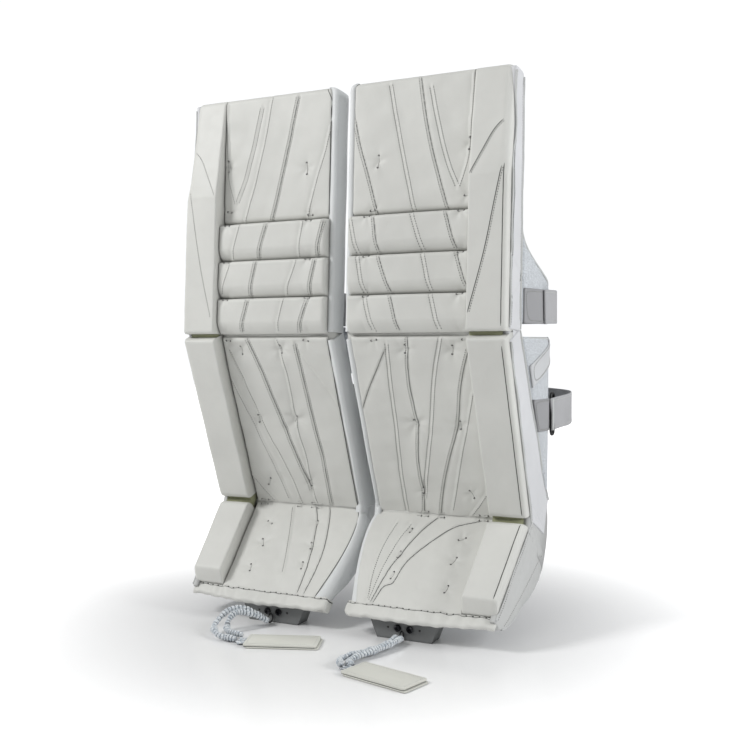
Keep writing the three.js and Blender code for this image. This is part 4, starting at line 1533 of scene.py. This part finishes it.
def make_ring(side):
    """The ring the tie hangs from."""
    low, high = (np.array(c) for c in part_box("toe_tie_ring_" + side))
    thick = 1.2 * MM
    middle, radius = (low + high) / 2, (high[2] - low[2]) / 2 - thick
    angles = np.linspace(0, 2 * math.pi, 41)
    points = np.stack([0 * angles, radius * np.cos(angles), radius * np.sin(angles)], axis=1) + middle
    builder = Builder()
    builder.add(*sweep(points, np.tile((1.0, 0, 0), (len(points), 1)), circle(thick, 10)))
    ring = builder.build("toe_tie_ring_" + side, [BLACK_PLASTIC])
    place_one(ring, side, "boot", "black_plastic", "toe_tie_ring")


# Each tie in its own pad's frame: the cord's path, how far its strands part, and its tab's root and far end.
TIES = {
    "left": ([(108, -31.2, 9), (107, -66, 9), (97, -102, 8), (83, -136, 8), (81, -160, 7.5),
              (91, -172, 7.5)],
             [4.0, 4.6, 4.4, 5.0, 6.0, 7.5], (101, -172), (210, -200)),
    "right": ([(108, -31.2, 9), (126, -54, 26), (143, -76, 31), (150, -100, 15), (132, -121, 8.5),
               (99, -126, 7.5)],
              [3.6, 4.6, 7.0, 9.5, 9.0, 7.0], (84, -128), (-26, -88)),
}


def strand(builder, curve, apart, which):
    """One of the tie's two winding strands: thin fabric gathered into rings over elastic."""
    radius, pitch, step = 5.2, 5.6, 0.75
    fine = spline([(*p, gap + 0.6) for p, gap in zip(curve, apart)], step)
    path, gap = fine[:, :3], fine[:, 3]
    forward = unit(np.gradient(path, axis=0))
    side = unit(np.cross(forward, (0, 0, 1.0)))
    up = np.cross(side, forward)
    s = np.arange(len(path)) * step
    turn = s / 34.0 + which * math.pi
    aside = gap * np.cos(0.35 * np.sin(turn)) * (1 if which else -1)
    path = path + (side * aside[:, None] + up * (1.6 * np.sin(turn))[:, None])
    path[:, 2] = np.maximum(path[:, 2], radius * 1.05)
    rings = np.abs(np.sin(math.pi * s / pitch + 2.1 * which + 0.8 * np.sin(s / 11.0)))
    lumps = 1 + 0.10 * np.sin(s / 5.3 + which) + 0.07 * np.sin(s / 2.9 + 2)
    size = (0.58 + 0.46 * rings ** 0.6) * lumps
    turned = up * np.cos(turn)[:, None] + side * np.sin(turn)[:, None]
    builder.add(*sweep(path, turned, circle(radius, 12, 0.86), size))
    # Painted shade: a dark inner tube that shows where the gathered rings dip.
    builder.add(*sweep(path[3:-3], turned[3:-3], circle(radius * 0.78, 10, 0.86), lumps[3:-3]), slot=1)


def ruffle(cord, on_tab):
    """The cord's flat gathered end, sewn onto the tab."""
    rows, columns = 41, 12
    a, t = np.meshgrid(np.linspace(-1, 1, rows), np.linspace(0, 1, columns), indexing="ij")
    frill = 1.5 * np.sin(9.5 * a + 1) * (1 - t) + 0.8 * np.sin(17 * a)
    u = -13 + 17 * t + 2.0 * np.sin(7 * a) * (1 - t)
    v = a * (12 - 1.5 * np.sin(math.pi * t))
    top = np.stack([u, v, 4.8 + frill], axis=-1).reshape(-1, 3)
    cord.add(on_tab(np.vstack([top, top - [0, 0, 1.6]])), slab_faces(rows, columns))


TAB_LENGTH, TAB_HALF = 113.0, 26.5
# The tab's layers: bottom, top, how much wider, how far it slides along, and its material.
# The narrower middle layer takes the dark seam-shadow material: painted shadow in the gap between the
# leather layers.
TAB_LAYERS = ((0.3, 2.6, 0.0, 3.0, 0), (2.4, 3.8, -1.2, -1.0, 1), (3.6, 6.9, 0.0, 0.0, 0))


def tab_layer(tab, place_points, low, high, grow, slide, slot):
    """One layer of the tab, with rounded corners."""
    near, far, side = 3 + slide, TAB_LENGTH + slide - 3, TAB_HALF - 3
    ring = []
    for cx, cy, first in ((far, side, 0), (near, side, 90), (near, -side, 180), (far, -side, 270)):
        for turn in (0, 30, 60, 90):
            angle = math.radians(first + turn)
            ring.append((cx + (3 + grow) * math.cos(angle), cy + (3 + grow) * math.sin(angle)))
    ring = np.array(ring)
    centre = ring.mean(0)
    rows = [(low, 0.985), (low + 0.5, 1.0), (high - 0.6, 1.0), (high, 0.985)]
    points = [np.hstack([centre + (ring - centre) * k, np.full((len(ring), 1), z)]) for z, k in rows]
    tab.add(place_points(np.vstack(points)), tube_faces(len(rows), len(ring)), slot)


def tab_stitches(thread, place_points):
    """The row of stitches round the tab's top."""
    near, far, side = 4, TAB_LENGTH - 4, TAB_HALF - 4
    corners = np.array([(near, -side), (far, -side), (far, side), (near, side), (near, -side)])
    for first, second in zip(corners[:-1], corners[1:]):
        length = np.linalg.norm(second - first)
        aim = (second - first) / length
        for step in np.arange(0, length, 3.2):
            points = np.array([np.append(first + aim * (step + d), 7.0) for d in (0, 0.9, 1.8)])
            thread.add(*sweep(place_points(points), np.tile((0, 0, 1.0), (3, 1)), circle(0.4 * MM, 5, 0.6)))


def make_tie(side):
    """The toe tie: a two-strand gathered cord ending in a ruffle and a layered, stitched tab."""
    curve, apart, root, end = TIES[side]
    flip = np.array([1 if side == "left" else -1, 1, 1])
    start = np.array([*root, 0.0])
    heading = np.array([*end, 0.0]) - start
    heading /= np.linalg.norm(heading)
    left = np.array([-heading[1], heading[0], 0.0])

    def world(points):
        return (np.asarray(points, float) + [X0, Y0, 0]) * flip * MM

    def on_tab(points):
        """Tab coordinates: u along it, v across it and w up."""
        u, v, w = points.T
        return start + np.outer(u, heading) + np.outer(v, left) + np.outer(w, (0, 0, 1.0))

    def in_world(points):
        return world(on_tab(points))
    cord, tab, thread = Builder(), Builder(), Builder()
    for which in (0, 1):
        strand(cord, curve, apart, which)
    ruffle(cord, on_tab)
    cord.vertices = [world(points) for points in cord.vertices]
    cord = cord.build("toe_tie_cord_" + side, [SLEEVE, SLEEVE_FOLD_SHADE])
    place_one(cord, side, "toe_tie", "cord_sleeve", "toe_tie_cord")
    for layer in TAB_LAYERS:
        tab_layer(tab, in_world, *layer)
    tab = tab.build("toe_tie_tab_" + side, [TAB, GROOVE])
    place_one(tab, side, "toe_tab", "tab_leather", "toe_tie_tab")
    tab_stitches(thread, in_world)
    thread = thread.build("toe_tie_tab_stitches_" + side, [THREAD])
    place_one(thread, side, "toe_tab", "tab_leather")


def make_toe():
    make_bridge()
    for side in ("left", "right"):
        make_ring(side)
        make_tie(side)


# ---------------------------------------------------------------- scene

AMBIENT = 0.36  # the sky's light; the camera itself sees it white


FLOOR_HALF = 8.0
FADE_START, FADE_END = 0.18, 1.0  # distances from the middle, in metres


def make_stage():
    """A plain pale floor that fades to white with distance, and a plain white sky."""
    floor = Builder()
    corners = [(x * FLOOR_HALF, y * FLOOR_HALF, 0) for x, y in ((-1, -1), (1, -1), (1, 1), (-1, 1))]
    floor.add(corners, [(0, 1, 2, 3)])
    obj = floor.build("floor", [])
    m = Nodes("floor_white")
    shade = m.mix(m.noise(3.0), rgb(0.90, 0.90, 0.90), rgb(0.92, 0.92, 0.92))
    m.set(color=shade, roughness=0.18, specular=0.35)
    away = m.add("ShaderNodeVectorMath", {0: m.place}, operation="LENGTH").outputs["Value"]
    eye = m.add("ShaderNodeLightPath").outputs["Is Camera Ray"]
    fade = m.add("ShaderNodeMapRange", {"Value": away, "From Min": FADE_START, "From Max": FADE_END},
                 interpolation_type="SMOOTHSTEP")
    glow = m.math("MULTIPLY", fade.outputs["Result"], eye)
    m.put(m.bsdf.inputs["Emission Color"], rgb(1, 1, 1))
    m.put(m.bsdf.inputs["Emission Strength"], glow)
    obj.data.materials.append(m.material)
    world = bpy.data.worlds.new("studio")
    bpy.context.scene.world = world
    world.use_nodes = True
    tree = world.node_tree
    tree.nodes["Background"].inputs["Color"].default_value = rgb(0.98, 0.99, 1.0)
    rays = tree.nodes.new("ShaderNodeLightPath")
    strength = tree.nodes.new("ShaderNodeMapRange")
    strength.inputs["To Min"].default_value, strength.inputs["To Max"].default_value = AMBIENT, 1.04
    tree.links.new(rays.outputs["Is Camera Ray"], strength.inputs["Value"])
    tree.links.new(strength.outputs["Result"], tree.nodes["Background"].inputs["Strength"])
    bpy.context.scene.view_settings.view_transform = "Standard"


def area_light(name, place_at, look_at, size, watts):
    """A square lamp that faces look_at."""
    data = bpy.data.lights.new(name, "AREA")
    data.shape, data.size, data.energy, data.color = "SQUARE", size, watts, LIGHT_COLORS[name]
    light = bpy.data.objects.new(name, data)
    bpy.context.scene.collection.objects.link(light)
    direction = Vector(look_at) - Vector(place_at)
    light.location = place_at
    light.rotation_euler = direction.to_track_quat("-Z", "Y").to_euler()


LIGHT_COLORS = {"key": (1, 1, 1), "fill": (0.98, 0.99, 1.0)}


def make_lights():
    area_light("key", (-1.9, -1.9, 2.4), (0, 0, 0.4), 0.9, 62)
    area_light("fill", (2.8, 0.2, 1.4), (0, 0, 0.5), 1.4, 44)


CAMERA_AT = (0.7445, -1.4266, 0.4605)
CAMERA_AZIMUTH, CAMERA_DOWN, CAMERA_ROLL = 25.89, 1.76, -0.25  # degrees
CAMERA_LENS, CAMERA_SENSOR = 47.28, 36.0  # millimetres


def make_camera():
    data = bpy.data.cameras.new("camera")
    data.lens, data.sensor_width = CAMERA_LENS, CAMERA_SENSOR
    camera = bpy.data.objects.new("camera", data)
    aim = Euler((math.radians(90 - CAMERA_DOWN), 0, math.radians(CAMERA_AZIMUTH))).to_matrix()
    turn = aim @ Matrix.Rotation(math.radians(CAMERA_ROLL), 3, "Z")
    camera.matrix_world = Matrix.Translation(CAMERA_AT) @ turn.to_4x4()
    bpy.context.scene.collection.objects.link(camera)
    bpy.context.scene.camera = camera


make_thigh_face()
make_knee_rolls()
make_thigh_roll()
make_shin_face()
make_shin_roll()
make_boot_face()
make_boot_binding()
make_boot_roll()
make_cores()
make_thigh_wall()
make_shin_wall()
make_outer_gusset()
make_boot_wall()
make_boot_inner_wall()
make_ankle_crease()
make_knee_fold()
make_leg_parts()
make_wings()
make_patches()
make_straps()
make_calf_loop()
make_toe()
make_stage()
make_lights()
make_camera()
